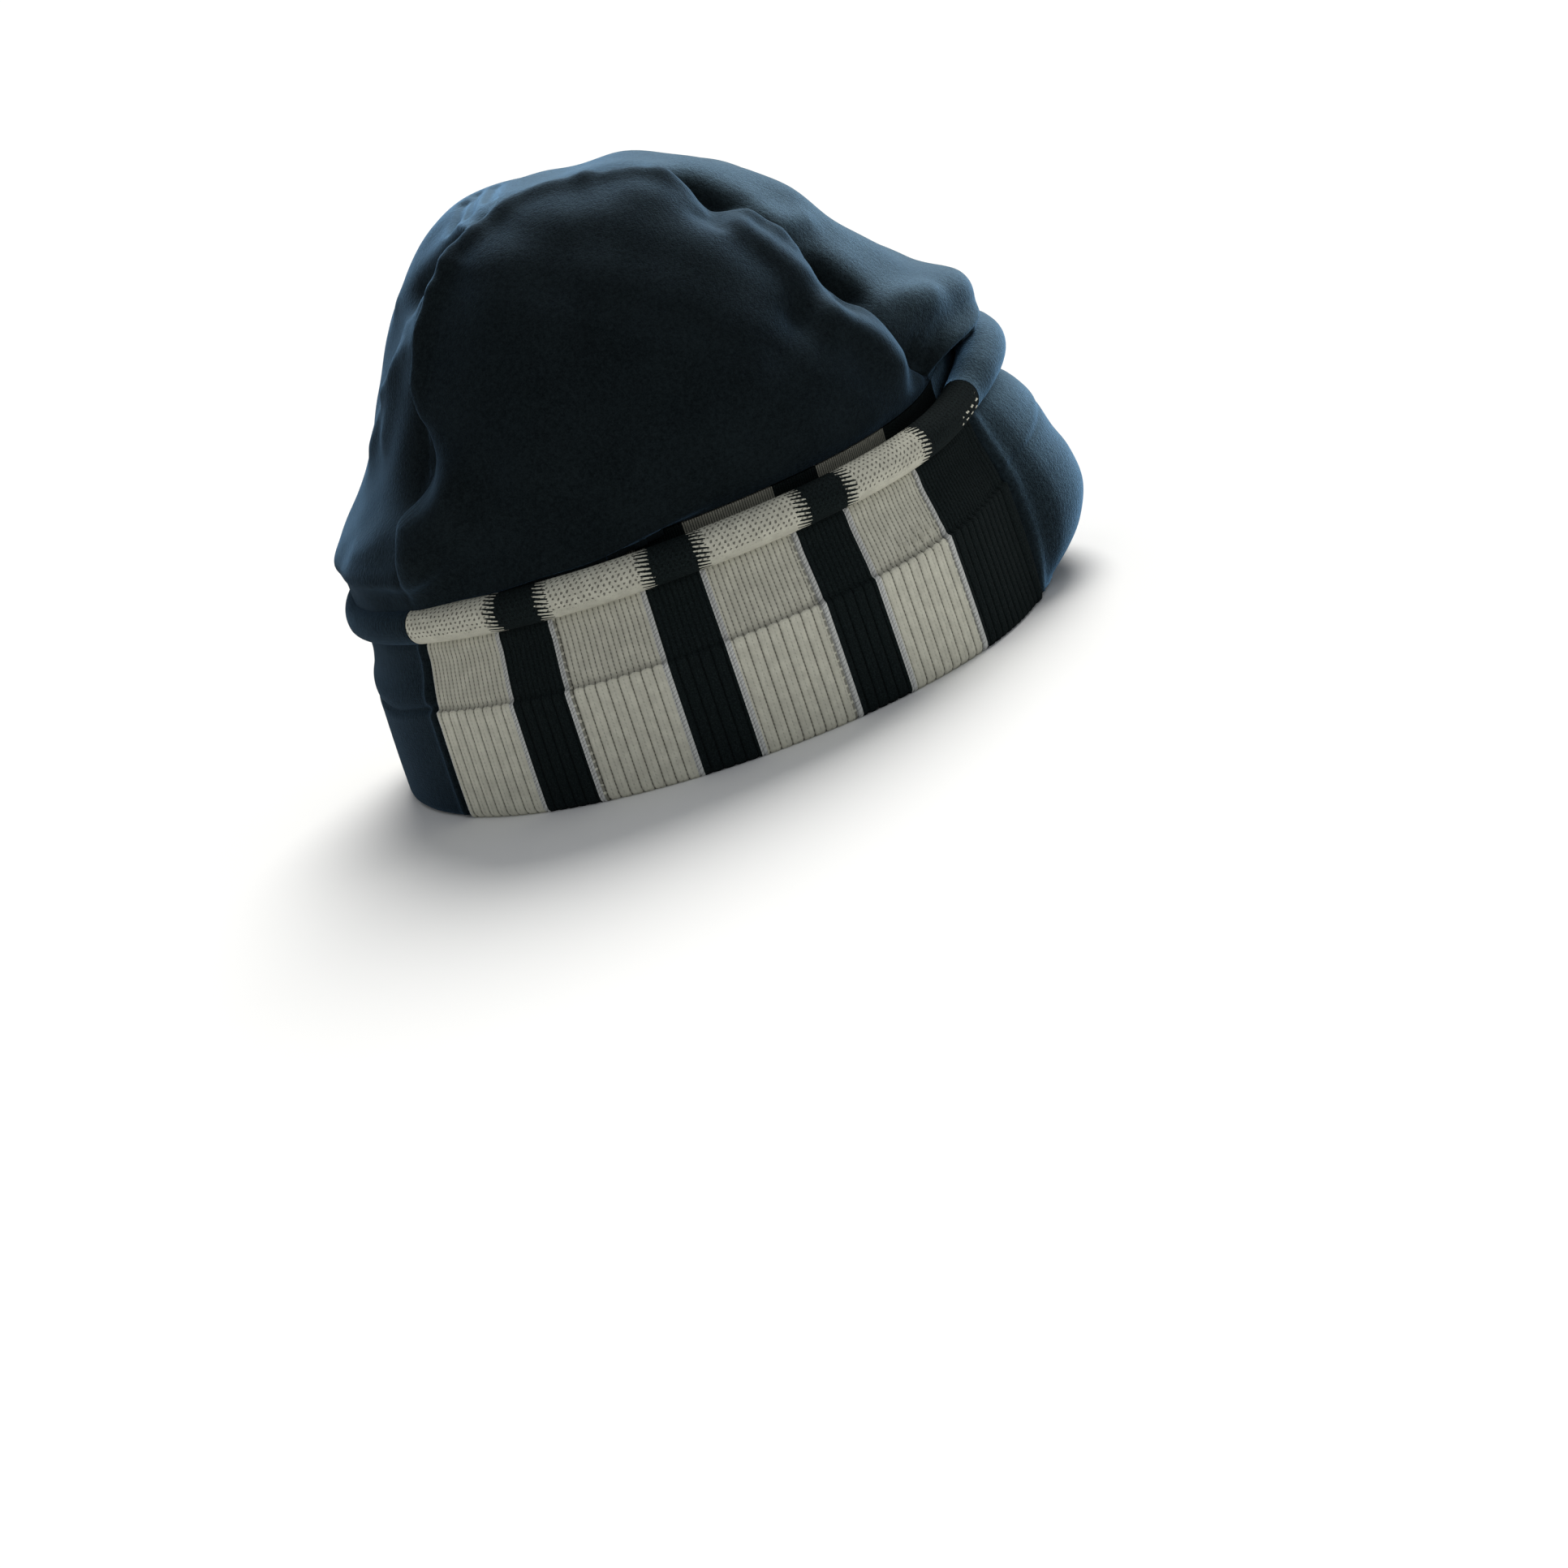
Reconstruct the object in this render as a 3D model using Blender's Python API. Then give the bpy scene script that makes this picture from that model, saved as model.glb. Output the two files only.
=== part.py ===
"""Knitted beanie with a turned-up band, resting on its rim.

The hat stands on the XY plane with +Z up. Its front faces -Y and the wearer's right side is -X.
Its points are worked out from the middle of the rim's oval, and the finished pieces are then moved
so that the middle of the whole hat is at the origin.
Four cuff panels make the band: each is one cloth that runs down inside the hat, folds at the rim,
comes up again outside and ends in an outward roll. Three crown panels close the top: one on each
side, and a strip that runs from the front over the top to the back.
"""

import math
from bisect import bisect_right
from collections import namedtuple

import bmesh
import bpy
from mathutils import Vector

# Sizes of the band, in metres.
RIM_HALF_LENGTH = 0.096
RIM_HALF_WIDTH = 0.086
FRONT_SEAM = 0.0398
BACK_PANEL_HALF = 0.0400
KNIT = 0.0018
LAYER_SPACE = 0.0010
ROLL_RADIUS = 0.0053
ROLL_HEIGHT = 0.0585
ROLL_SETBACK = 0.0056
NECK_PINCH = 0.0006

# How far the front stands out from the plain oval.
FRONT_RIM_OUT = 0.0040
FRONT_PUFF = 0.0155
FRONT_ROLL_OUT = 0.0086
FRONT_ROLL_LIFT = 0.0110

# Sizes of the crown, in metres.
FLEECE = 0.0020
CROWN_RISE = 0.0905
SEAM_ABOVE_ROLL = 0.0018

# Clearance between neighbouring pieces.
GAP = 0.00035

# Stripes of a side cuff from the front seam to the back seam: widths along the rim.
WIDE_NAVY = 0.0385
CREAM_WIDTH = 0.0296
NAVY_WIDTH = 0.0164
CREAM_STRIPES = 4

# How finely each panel is divided.
RIM_STEPS = 720
FOLD_STEPS = 5
ROLL_STEPS = 8
ROLL_TURN = math.radians(272)
END_COLUMNS = 8
WIDE_NAVY_COLUMNS = 4
CREAM_COLUMNS = 3
NAVY_COLUMNS = 2
CROWN_ROWS_UP = 11
EASE_COLUMNS = 6
SMOOTH_ANGLE = math.radians(50)

# Colours and roughness of the cloths.
FLEECE_COLOUR = (0.010, 0.020, 0.040)
NAVY_COLOUR = (0.006, 0.010, 0.020)
CREAM_COLOUR = (0.60, 0.58, 0.49)
KNIT_ROUGHNESS = 0.95
FLEECE_ROUGHNESS = 0.90

# Shape of the band round half of the rim, from the front centre at 0 to the back centre at 1.
# The columns are shares of FRONT_RIM_OUT, FRONT_PUFF, FRONT_ROLL_OUT, FRONT_ROLL_LIFT and ROLL_RADIUS.
BandRow = namedtuple("BandRow", "around rim_out puff roll_out roll_lift roll_size")
BAND_SHAPE = (
    BandRow(0.00, 1.00, 1.00, 1.00, 1.00, 1.40),
    BandRow(0.05, 0.92, 0.96, 0.92, 0.94, 1.36),
    BandRow(0.10, 0.55, 0.60, 0.52, 0.62, 1.18),
    BandRow(0.14, 0.06, 0.04, 0.06, 0.28, 1.02),
    BandRow(0.25, 0.00, 0.00, 0.00, 0.10, 1.00),
    BandRow(0.52, 0.00, 0.00, 0.00, 0.00, 1.00),
    BandRow(0.70, 0.00, 0.00, 0.02, -0.12, 1.00),
    BandRow(0.86, 0.00, 0.00, 0.06, -0.24, 1.00),
    BandRow(1.00, 0.00, 0.00, 0.13, -0.40, 1.00),
)

# The outer layer from the rim at 0 to the roll at 1: its share of the way in from the rim to the
# roll's neck, and of the puff.
OuterRow = namedtuple("OuterRow", "up lean puff")
OUTER_SHAPE = (
    OuterRow(0.00, 0.00, 0.00),
    OuterRow(0.09, 0.00, 0.46),
    OuterRow(0.19, 0.01, 0.78),
    OuterRow(0.34, 0.05, 1.00),
    OuterRow(0.50, 0.11, 0.94),
    OuterRow(0.63, 0.18, 0.76),
    OuterRow(0.78, 0.56, 0.61),
    OuterRow(0.90, 0.86, 0.41),
    OuterRow(1.00, 1.00, 0.00),
)
INNER_ROWS = (1.00, 0.63, 0.20)

# The crown's seams and the strip's middle line, from the front foot to the back foot. Forward is a
# share of RIM_HALF_LENGTH, height a share of CROWN_RISE, side a share of RIM_HALF_WIDTH, and the left
# seam lies lower than the right one by left_drop, a share of CROWN_RISE, and is tucked in by it.
CrownRow = namedtuple("CrownRow", "forward height side middle_forward middle_height left_drop")
CROWN_LINES = (
    CrownRow(0.724, 0.130, 0.430, 1.045, 0.176, 0.00),
    CrownRow(0.656, 0.270, 0.470, 1.036, 0.258, 0.00),
    CrownRow(0.583, 0.391, 0.460, 0.906, 0.347, 0.01),
    CrownRow(0.500, 0.546, 0.419, 0.755, 0.518, 0.02),
    CrownRow(0.417, 0.701, 0.378, 0.615, 0.706, 0.04),
    CrownRow(0.302, 0.822, 0.349, 0.448, 0.850, 0.05),
    CrownRow(0.146, 0.949, 0.330, 0.229, 0.955, 0.06),
    CrownRow(-0.042, 0.988, 0.320, 0.000, 0.977, 0.06),
    CrownRow(-0.208, 0.988, 0.320, -0.203, 0.999, 0.06),
    CrownRow(-0.354, 0.944, 0.330, -0.335, 0.968, 0.06),
    CrownRow(-0.510, 0.828, 0.360, -0.495, 0.833, 0.06),
    CrownRow(-0.625, 0.668, 0.407, -0.600, 0.648, 0.05),
    CrownRow(-0.661, 0.513, 0.430, -0.690, 0.493, 0.04),
    CrownRow(-0.698, 0.358, 0.453, -0.770, 0.338, 0.03),
    CrownRow(-0.755, 0.226, 0.470, -0.850, 0.215, 0.02),
    CrownRow(-0.835, 0.103, 0.470, -0.945, 0.103, 0.01),
    CrownRow(-0.868, 0.030, 0.460, -0.982, 0.025, 0.00),
)
LEFT_TUCK = 1.5
SIDE_EDGE_ROWS = (3, 14)
STRIP_FULLNESS = 2.5
SEAM_STEP = 0.005

# How the cloth of a side panel leaves its two edges, from the front edge at 0 to the back edge at 1:
# outwards and up at the foot, outwards and down at the seam, as shares of CROWN_RISE.
PanelRow = namedtuple("PanelRow", "along foot_out foot_up top_out top_down")
PANEL_SHAPE = (
    PanelRow(0.00, 0.05, 0.09, 0.02, 0.04),
    PanelRow(0.15, 0.10, 0.16, 0.16, 0.06),
    PanelRow(0.50, 0.14, 0.16, 0.37, 0.07),
    PanelRow(0.80, 0.16, 0.14, 0.14, 0.12),
    PanelRow(1.00, 0.12, 0.08, 0.02, 0.08),
)

# Folds and dents of the crown, each along a line on its panel. Along runs from the front edge at 0 to
# the back edge at 1, up from the band or the right seam at 0 to the other edge at 1. Width and height
# are shares of CROWN_RISE, and a dent has a height below 0.
Fold = namedtuple("Fold", "panel along up end_along end_up width height")
CROWN_FOLDS = (
    Fold("crown_side_right", 0.05, 0.93, 0.13, 0.60, 0.08, -0.035),
    Fold("crown_side_right", 0.27, 0.95, 0.31, 0.80, 0.07, -0.030),
    Fold("crown_side_right", 0.94, 0.30, 0.84, 0.42, 0.08, 0.035),
    Fold("crown_side_right", 0.90, 0.78, 0.88, 0.55, 0.07, -0.030),
    Fold("crown_side_right", 0.62, 0.80, 0.70, 0.35, 0.12, 0.020),
    Fold("crown_side_left", 0.12, 0.95, 0.20, 0.60, 0.08, -0.035),
    Fold("crown_side_left", 0.42, 0.90, 0.40, 0.50, 0.12, 0.025),
    Fold("crown_side_left", 0.72, 0.92, 0.68, 0.60, 0.09, -0.030),
    Fold("crown_strip", 0.13, 0.12, 0.20, 0.12, 0.07, -0.050),
    Fold("crown_strip", 0.27, 0.12, 0.32, 0.12, 0.07, -0.045),
    Fold("crown_strip", 0.40, 0.12, 0.45, 0.14, 0.06, -0.035),
    Fold("crown_strip", 0.62, 0.15, 0.66, 0.30, 0.07, -0.045),
    Fold("crown_strip", 0.70, 0.14, 0.80, 0.16, 0.08, -0.035),
    Fold("crown_strip", 0.70, 0.26, 0.80, 0.38, 0.07, 0.020),
    Fold("crown_strip", 0.34, 0.88, 0.42, 0.80, 0.08, -0.035),
    Fold("crown_strip", 0.58, 0.86, 0.66, 0.78, 0.08, -0.030),
)


def smooth(places, values, place):
    """Value at a place on a smooth line through the given values."""
    place = min(max(place, places[0]), places[-1])
    last = len(places) - 1
    start = min(max(bisect_right(places, place) - 1, 0), last - 1)
    span = places[start + 1] - places[start]
    share = (place - places[start]) / span

    def slope(at):
        before, after = max(at - 1, 0), min(at + 1, last)
        return (values[after] - values[before]) / (places[after] - places[before])

    ends = values[start], values[start + 1]
    slopes = slope(start) * span, slope(start + 1) * span
    square, cube = share ** 2, share ** 3
    return (ends[0] * (2 * cube - 3 * square + 1) + slopes[0] * (cube - 2 * square + share)
            + ends[1] * (3 * square - 2 * cube) + slopes[1] * (cube - square))


def from_table(table, column, place):
    """Value of a table's column at a place given in the table's first column."""
    places = [row[0] for row in table]
    return smooth(places, [getattr(row, column) for row in table], place)


def rim_lengths():
    """Length of the rim from the front centre to each small step of half a turn."""
    lengths = [0.0]
    for step in range(RIM_STEPS):
        middle = math.pi * (step + 0.5) / RIM_STEPS
        speed = math.hypot(RIM_HALF_WIDTH * math.cos(middle), RIM_HALF_LENGTH * math.sin(middle))
        lengths.append(lengths[-1] + speed * math.pi / RIM_STEPS)
    return lengths


RIM_LENGTHS = rim_lengths()
HALF_RIM = RIM_LENGTHS[-1]
BACK_SEAM = HALF_RIM - BACK_PANEL_HALF


def rim_angle(arc):
    """Angle round the oval at a length along the rim; both are positive towards the wearer's right."""
    length = abs(arc)
    step = min(bisect_right(RIM_LENGTHS, length), RIM_STEPS) - 1
    share = (length - RIM_LENGTHS[step]) / (RIM_LENGTHS[step + 1] - RIM_LENGTHS[step])
    return math.copysign((step + share) * math.pi / RIM_STEPS, arc)


def outward(arc):
    """Level direction that points straight out of the rim."""
    angle = rim_angle(arc)
    return Vector((-math.sin(angle) / RIM_HALF_WIDTH, -math.cos(angle) / RIM_HALF_LENGTH, 0)).normalized()


def place_on_rim(arc, out, up):
    """Point at a length along the rim, a distance out from the oval and a height."""
    angle = rim_angle(arc)
    rim = Vector((-RIM_HALF_WIDTH * math.sin(angle), -RIM_HALF_LENGTH * math.cos(angle), 0))
    return rim + outward(arc) * out + Vector((0, 0, up))


def band(column, arc):
    """Column of the band's table at a length along the rim."""
    return from_table(BAND_SHAPE, column, abs(arc) / HALF_RIM)


def roll_at(arc):
    """Middle of the roll, out from the oval and up, and its radius."""
    out = band("roll_out", arc) * FRONT_ROLL_OUT - ROLL_SETBACK
    up = ROLL_HEIGHT + band("roll_lift", arc) * FRONT_ROLL_LIFT
    return out, up, ROLL_RADIUS * band("roll_size", arc)


def band_top(arc):
    """Top of the inner layer, where the crown is sewn on, at the middle of the cloth."""
    out, up, radius = roll_at(arc)
    return out - radius - LAYER_SPACE - KNIT / 2, up + radius + SEAM_ABOVE_ROLL


def cuff_path(arc):
    """Middle line of the cuff's cloth across the band: inner layer, fold at the rim, outer layer, roll."""
    roll_out, roll_up, roll_radius = roll_at(arc)
    top_out, top_up = band_top(arc)
    rim_out = band("rim_out", arc) * FRONT_RIM_OUT
    bend = (KNIT + LAYER_SPACE) / 2
    flat_half = math.pi / FOLD_STEPS / 2
    fold_up = KNIT / 2 + bend * math.cos(flat_half)
    fold_out = rim_out - KNIT / 2 - bend
    neck_up = roll_up - roll_radius - LAYER_SPACE
    neck_out = roll_out

    def straight(share):
        lean = from_table(OUTER_SHAPE, "lean", share)
        return rim_out + (neck_out + LAYER_SPACE / 2 - rim_out) * lean

    path = [(top_out, top_up), (top_out, roll_up)]
    for share in INNER_ROWS:
        up = fold_up + (neck_up - fold_up) * share
        path.append((straight(share) - KNIT - LAYER_SPACE - KNIT / 2, up))
    for step in range(FOLD_STEPS + 1):
        turn = math.pi * (1 + step / FOLD_STEPS)
        path.append((fold_out + bend * math.cos(turn), fold_up + bend * math.sin(turn)))
    for row in OUTER_SHAPE[1:]:
        puff = from_table(OUTER_SHAPE, "puff", row.up) * band("puff", arc) * FRONT_PUFF
        path.append((straight(row.up) + puff - KNIT / 2, fold_up + (neck_up - fold_up) * row.up))
    curl = roll_radius - KNIT / 2
    path.append(((path[-1][0] + roll_out - curl) / 2 - NECK_PINCH, roll_up - curl / 2))
    for step in range(ROLL_STEPS + 1):
        turn = math.pi - ROLL_TURN * step / ROLL_STEPS
        path.append((roll_out + curl * math.cos(turn), roll_up + curl * math.sin(turn)))
    return [Vector(point) for point in path]


def both_faces(path, thickness):
    """Shown and hidden face of a cloth, given the middle line of its cut."""
    shown, hidden = [], []
    for at, point in enumerate(path):
        before = (point - path[at - 1]).normalized() if at else None
        after = (path[at + 1] - point).normalized() if at + 1 < len(path) else None
        sides = [Vector((way.y, -way.x)) for way in (before, after) if way]
        side = sum(sides, Vector((0, 0))).normalized()
        reach = thickness / 2 / side.dot(sides[0])
        shown.append(point + side * reach)
        hidden.append(point - side * reach)
    return shown, hidden


def cuff_faces(arc):
    """Shown and hidden face of the cuff at a length along the rim, as points in space."""
    path = cuff_path(arc)
    shown, hidden = both_faces(path, KNIT)
    shown[0], hidden[0] = path[0] + Vector((-KNIT / 2, 0)), path[0] + Vector((KNIT / 2, 0))
    return [[place_on_rim(arc, *point) for point in face] for face in (shown, hidden)]


def slab(name, columns, rows, place, materials, colours=None):
    """A closed cloth of columns by rows squares; place gives each corner of its two faces."""
    mesh = bpy.data.meshes.new(name)
    work = bmesh.new()
    bmesh.ops.create_grid(work, x_segments=columns, y_segments=rows, size=0.5)
    bmesh.ops.solidify(work, geom=work.faces[:], thickness=1.0)
    levels = [vert.co.z for vert in work.verts]
    middle = (min(levels) + max(levels)) / 2
    marks = {}
    for vert in work.verts:
        column = round((vert.co.x + 0.5) * columns)
        row = round((vert.co.y + 0.5) * rows)
        marks[vert] = (column, row, 0 if vert.co.z > middle else 1)
    for face in work.faces:
        if colours:
            face.material_index = colours[min(min(marks[vert][0] for vert in face.verts), columns - 1)]
    for vert, mark in marks.items():
        vert.co = place(*mark)
    bmesh.ops.triangulate(work, faces=work.faces)
    if work.calc_volume(signed=True) < 0:
        bmesh.ops.reverse_faces(work, faces=work.faces)
    work.to_mesh(mesh)
    work.free()
    for material in materials:
        mesh.materials.append(material)
    mesh.shade_smooth()
    mesh.set_sharp_from_angle(angle=SMOOTH_ANGLE)
    piece = bpy.data.objects.new(name, mesh)
    HAT.objects.link(piece)
    return piece


def cuff_panel(name, arcs, materials, colours=None):
    """One cuff panel with a column edge at each of the given lengths along the rim."""
    columns = [cuff_faces(arc) for arc in arcs]
    rows = len(columns[0][0]) - 1
    return slab(name, len(arcs) - 1, rows, lambda column, row, face: columns[column][face][row],
                materials, colours)


def even_arcs(start, end):
    """Column edges of an end panel between two seams, set back from both by half a gap."""
    start, end = start + GAP / 2, end - GAP / 2
    arcs = [start + (end - start) * step / END_COLUMNS for step in range(END_COLUMNS + 1)]
    return [arc - 2 * HALF_RIM if arc > HALF_RIM else arc for arc in arcs]


def stripe_arcs():
    """Column edges of the right side cuff, and the colour of each column."""
    stripes = [(WIDE_NAVY, WIDE_NAVY_COLUMNS, 0)]
    for number in range(CREAM_STRIPES):
        stripes.append((CREAM_WIDTH, CREAM_COLUMNS, 1))
        if number + 1 < CREAM_STRIPES:
            stripes.append((NAVY_WIDTH, NAVY_COLUMNS, 0))
    fit = (BACK_SEAM - FRONT_SEAM) / sum(width for width, _, _ in stripes)
    arcs, colours = [FRONT_SEAM], []
    for width, columns, colour in stripes:
        for _ in range(columns):
            arcs.append(arcs[-1] + width * fit / columns)
            colours.append(colour)
    arcs[0] += GAP / 2
    arcs[-1] -= GAP / 2
    return arcs, colours


SIDE_ARCS, SIDE_COLOURS = stripe_arcs()
FRONT_ARCS = even_arcs(-FRONT_SEAM, FRONT_SEAM)
BACK_ARCS = even_arcs(BACK_SEAM, 2 * HALF_RIM - BACK_SEAM)


def foot(arc):
    """Outer and inner corner of a crown panel's lower edge, just above the band."""
    out, up = band_top(arc)
    return place_on_rim(arc, out + FLEECE / 2, up + GAP), place_on_rim(arc, out - FLEECE / 2, up + GAP)


CROWN_BASE = ROLL_HEIGHT + ROLL_RADIUS + SEAM_ABOVE_ROLL


def crown_lines(side):
    """Points of a crown seam and of the strip's middle line; side is -1 for right and 1 for left."""
    seam = [foot(-side * FRONT_SEAM)[0]]
    middle = [foot(0)[0]]
    for row in CROWN_LINES:
        drop = row.left_drop if side > 0 else 0
        forward = row.forward * (1 - LEFT_TUCK * drop)
        seam.append(Vector((side * row.side * RIM_HALF_WIDTH, -forward * RIM_HALF_LENGTH,
                            CROWN_BASE + (row.height - drop) * CROWN_RISE)))
        middle.append(Vector((0, -row.middle_forward * RIM_HALF_LENGTH,
                              CROWN_BASE + row.middle_height * CROWN_RISE)))
    seam.append(foot(-side * BACK_SEAM)[0])
    middle.append(foot(HALF_RIM)[0])
    return seam, middle


def line_places(points):
    """Share of the whole length at each point of a line."""
    lengths = [0.0]
    for before, after in zip(points, points[1:]):
        lengths.append(lengths[-1] + (after - before).length)
    return [length / lengths[-1] for length in lengths]


def on_line(places, points, place):
    """Point of a smooth line through the given points."""
    return Vector([smooth(places, [point[axis] for point in points], place) for axis in range(3)])


class Seam:
    """One crown seam: where it runs, and the directions along, across and into the hat there."""

    def __init__(self, side):
        self.side = side
        self.points, self.middle = crown_lines(side)
        self.places = line_places(self.points)
        self.front, self.back = (self.places[row] for row in SIDE_EDGE_ROWS)

    def at(self, place):
        return on_line(self.places, self.points, place)

    def middle_at(self, place):
        return on_line(self.places, self.middle, place)

    def top_place(self, arc):
        """Place on the seam of the panel column that starts at a length along the rim."""
        share = (arc - SIDE_ARCS[0]) / (SIDE_ARCS[-1] - SIDE_ARCS[0])
        return self.front + (self.back - self.front) * share

    def inward(self, place):
        step = SEAM_STEP
        along = (self.at(min(place + step, 1)) - self.at(max(place - step, 0))).normalized()
        inside = Vector((0, 0, CROWN_BASE)) - self.at(place)
        return (inside - along * inside.dot(along)).normalized(), along

    def edge(self, place, towards_strip):
        """Outer and inner corner of a panel's edge beside the seam."""
        inside, along = self.inward(place)
        across = along.cross(inside).normalized()
        if across.x * -self.side < 0:
            across.negate()
        shift = across * (GAP / 2 if towards_strip else -GAP / 2)
        outer = self.at(place) + shift
        return outer, outer + inside * FLEECE

    def stations(self):
        """Places of all edge corners: up the front edge, along the top and down the back edge."""
        front = [self.front * step / CROWN_ROWS_UP for step in range(CROWN_ROWS_UP)]
        top = [self.top_place(arc) for arc in SIDE_ARCS[:-1]]
        back = [self.back + (1 - self.back) * step / CROWN_ROWS_UP for step in range(CROWN_ROWS_UP + 1)]
        return front + top + back


def inward_normal(grid, column, row):
    """Direction into the hat, square to a crown panel at one corner of its grid."""
    wide = grid[min(column + 1, len(grid) - 1)][row] - grid[max(column - 1, 0)][row]
    high = grid[column][min(row + 1, len(grid[0]) - 1)] - grid[column][max(row - 1, 0)]
    normal = wide.cross(high).normalized()
    if normal.dot(Vector((0, 0, CROWN_BASE)) - grid[column][row]) < 0:
        normal.negate()
    return normal


def grid_point(grid, along, up):
    """Corner of a grid nearest to a share of its columns and of its rows."""
    return grid[round(along * (len(grid) - 1))][round(up * (len(grid[0]) - 1))]


def distance_to_line(point, start, end):
    """Distance from a point to the straight line between two others."""
    line = end - start
    share = min(max((point - start).dot(line) / line.length_squared, 0), 1) if line.length else 0
    return (point - start - line * share).length


def folded(name, grid):
    """A panel's grid with its folds raised and its dents pressed in; its edges stay."""
    folds = [fold for fold in CROWN_FOLDS if fold.panel == name]
    lines = [(grid_point(grid, fold.along, fold.up), grid_point(grid, fold.end_along, fold.end_up))
             for fold in folds]
    result = [list(points) for points in grid]
    for column in range(1, len(grid) - 1):
        for row in range(1, len(grid[0]) - 1):
            point = grid[column][row]
            height = 0
            for fold, line in zip(folds, lines):
                near = distance_to_line(point, *line) / (fold.width * CROWN_RISE)
                height += fold.height * CROWN_RISE * math.exp(-near ** 2)
            result[column][row] = point - inward_normal(grid, column, row) * height
    return result


def crown_panel(name, grid, edges, materials):
    """Closed cloth of one crown panel: folds, then an inner face with its edge corners as given."""
    outer = folded(name, grid)
    inner = []
    for column, points in enumerate(outer):
        line = [point + inward_normal(outer, column, row) * FLEECE for row, point in enumerate(points)]
        inner.append([edges.get((column, row), point) for row, point in enumerate(line)])
    return slab(name, len(grid) - 1, len(grid[0]) - 1,
                lambda column, row, face: (inner if face else outer)[column][row], materials)


def pull_on(grid, column, targets):
    """Move one end column of a grid onto its targets, and its inner neighbours by less and less."""
    last_row = len(targets) - 1
    for row, target in enumerate(targets):
        shift = target - grid[column][row]
        for near in range(EASE_COLUMNS if 0 < row < last_row else 1):
            grid[abs(column - near)][row] += shift * (1 - near / EASE_COLUMNS) ** 2


def side_panel(name, side, materials):
    """Large crown panel between the band and a seam."""
    seam = Seam(side)
    grid, edges = [], {}
    for column, arc in enumerate(SIDE_ARCS):
        way_out = outward(-side * arc)
        low, low_inner = foot(-side * arc)
        high, high_inner = seam.edge(seam.top_place(arc), False)
        along = (arc - FRONT_SEAM) / (BACK_SEAM - FRONT_SEAM)
        shape = {key: from_table(PANEL_SHAPE, key, along) * CROWN_RISE for key in PanelRow._fields[1:]}
        low_handle = low + way_out * shape["foot_out"] + Vector((0, 0, shape["foot_up"]))
        high_handle = high + way_out * shape["top_out"] - Vector((0, 0, shape["top_down"]))
        points = []
        for row in range(CROWN_ROWS_UP + 1):
            rise = row / CROWN_ROWS_UP
            rest = 1 - rise
            points.append(low * rest ** 3 + low_handle * 3 * rise * rest ** 2
                          + high_handle * 3 * rise ** 2 * rest + high * rise ** 3)
        grid.append(points)
        edges[column, 0] = low_inner
        edges[column, CROWN_ROWS_UP] = high_inner
    last = len(SIDE_ARCS) - 1
    for column, start, end in ((0, 0, seam.front), (last, 1, seam.back)):
        rises = [start + (end - start) * row / CROWN_ROWS_UP for row in range(CROWN_ROWS_UP + 1)]
        corners = [foot(-side * SIDE_ARCS[column])] + [seam.edge(rise, False) for rise in rises[1:]]
        pull_on(grid, column, [outer for outer, _ in corners])
        edges.update({(column, row): inner for row, (_, inner) in enumerate(corners)})
    return crown_panel(name, grid, edges, materials)


def strip_panel(name, materials):
    """Crown strip from the front over the top to the back."""
    right, left = Seam(-1), Seam(1)
    grid, edges = [], {}
    stations = list(zip(right.stations(), left.stations()))
    for column, (right_place, left_place) in enumerate(stations):
        right_edge, right_inner = right.edge(right_place, True)
        left_edge, left_inner = left.edge(left_place, True)
        middle = right.middle_at(right_place)
        points = []
        for row in range(END_COLUMNS + 1):
            across = 2 * row / END_COLUMNS - 1
            edge = right_edge if across < 0 else left_edge
            bulge = 1 - abs(across) ** STRIP_FULLNESS
            level = edge.lerp(middle, bulge)
            points.append(Vector((edge.x * abs(across), level.y, level.z)))
        grid.append(points)
        edges[column, 0] = right_inner
        edges[column, END_COLUMNS] = left_inner
    for column, arcs in ((0, FRONT_ARCS[::-1]), (len(grid) - 1, BACK_ARCS)):
        feet = [foot(arc) for arc in arcs]
        pull_on(grid, column, [outer for outer, _ in feet])
        edges.update({(column, row): inner for row, (_, inner) in enumerate(feet)})
    return crown_panel(name, grid, edges, materials)


def cloth(name, colour, roughness):
    """Material of one cloth."""
    material = bpy.data.materials.new(name)
    material.use_nodes = True
    shader = material.node_tree.nodes["Principled BSDF"]
    shader.inputs["Base Color"].default_value = (*colour, 1)
    shader.inputs["Roughness"].default_value = roughness
    shader.inputs["Metallic"].default_value = 0
    return material


def fleece(name):
    """Material of one fleece panel."""
    return cloth(name, FLEECE_COLOUR, FLEECE_ROUGHNESS)


for old in list(bpy.data.objects):
    bpy.data.objects.remove(old)
HAT = bpy.data.collections.new("beanie")
bpy.context.scene.collection.children.link(HAT)

for word, way in (("right", 1), ("left", -1)):
    knits = [cloth(f"navy_knit_{word}", NAVY_COLOUR, KNIT_ROUGHNESS),
             cloth(f"cream_knit_{word}", CREAM_COLOUR, KNIT_ROUGHNESS)]
    cuff_panel(f"cuff_side_{word}", [way * arc for arc in SIDE_ARCS], knits, SIDE_COLOURS)
    side_panel(f"crown_side_{word}", -way, [fleece(f"side_fleece_{word}")])
cuff_panel("cuff_front", FRONT_ARCS, [fleece("front_fleece")])
cuff_panel("cuff_back", BACK_ARCS, [fleece("back_fleece")])
strip_panel("crown_strip", [fleece("strip_fleece")])

# The hat's bounding box is centred on the origin, seen from above.
corners = [vert.co.y for piece in HAT.objects for vert in piece.data.vertices]
for piece in HAT.objects:
    piece.location.y = -(min(corners) + max(corners)) / 2
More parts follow.
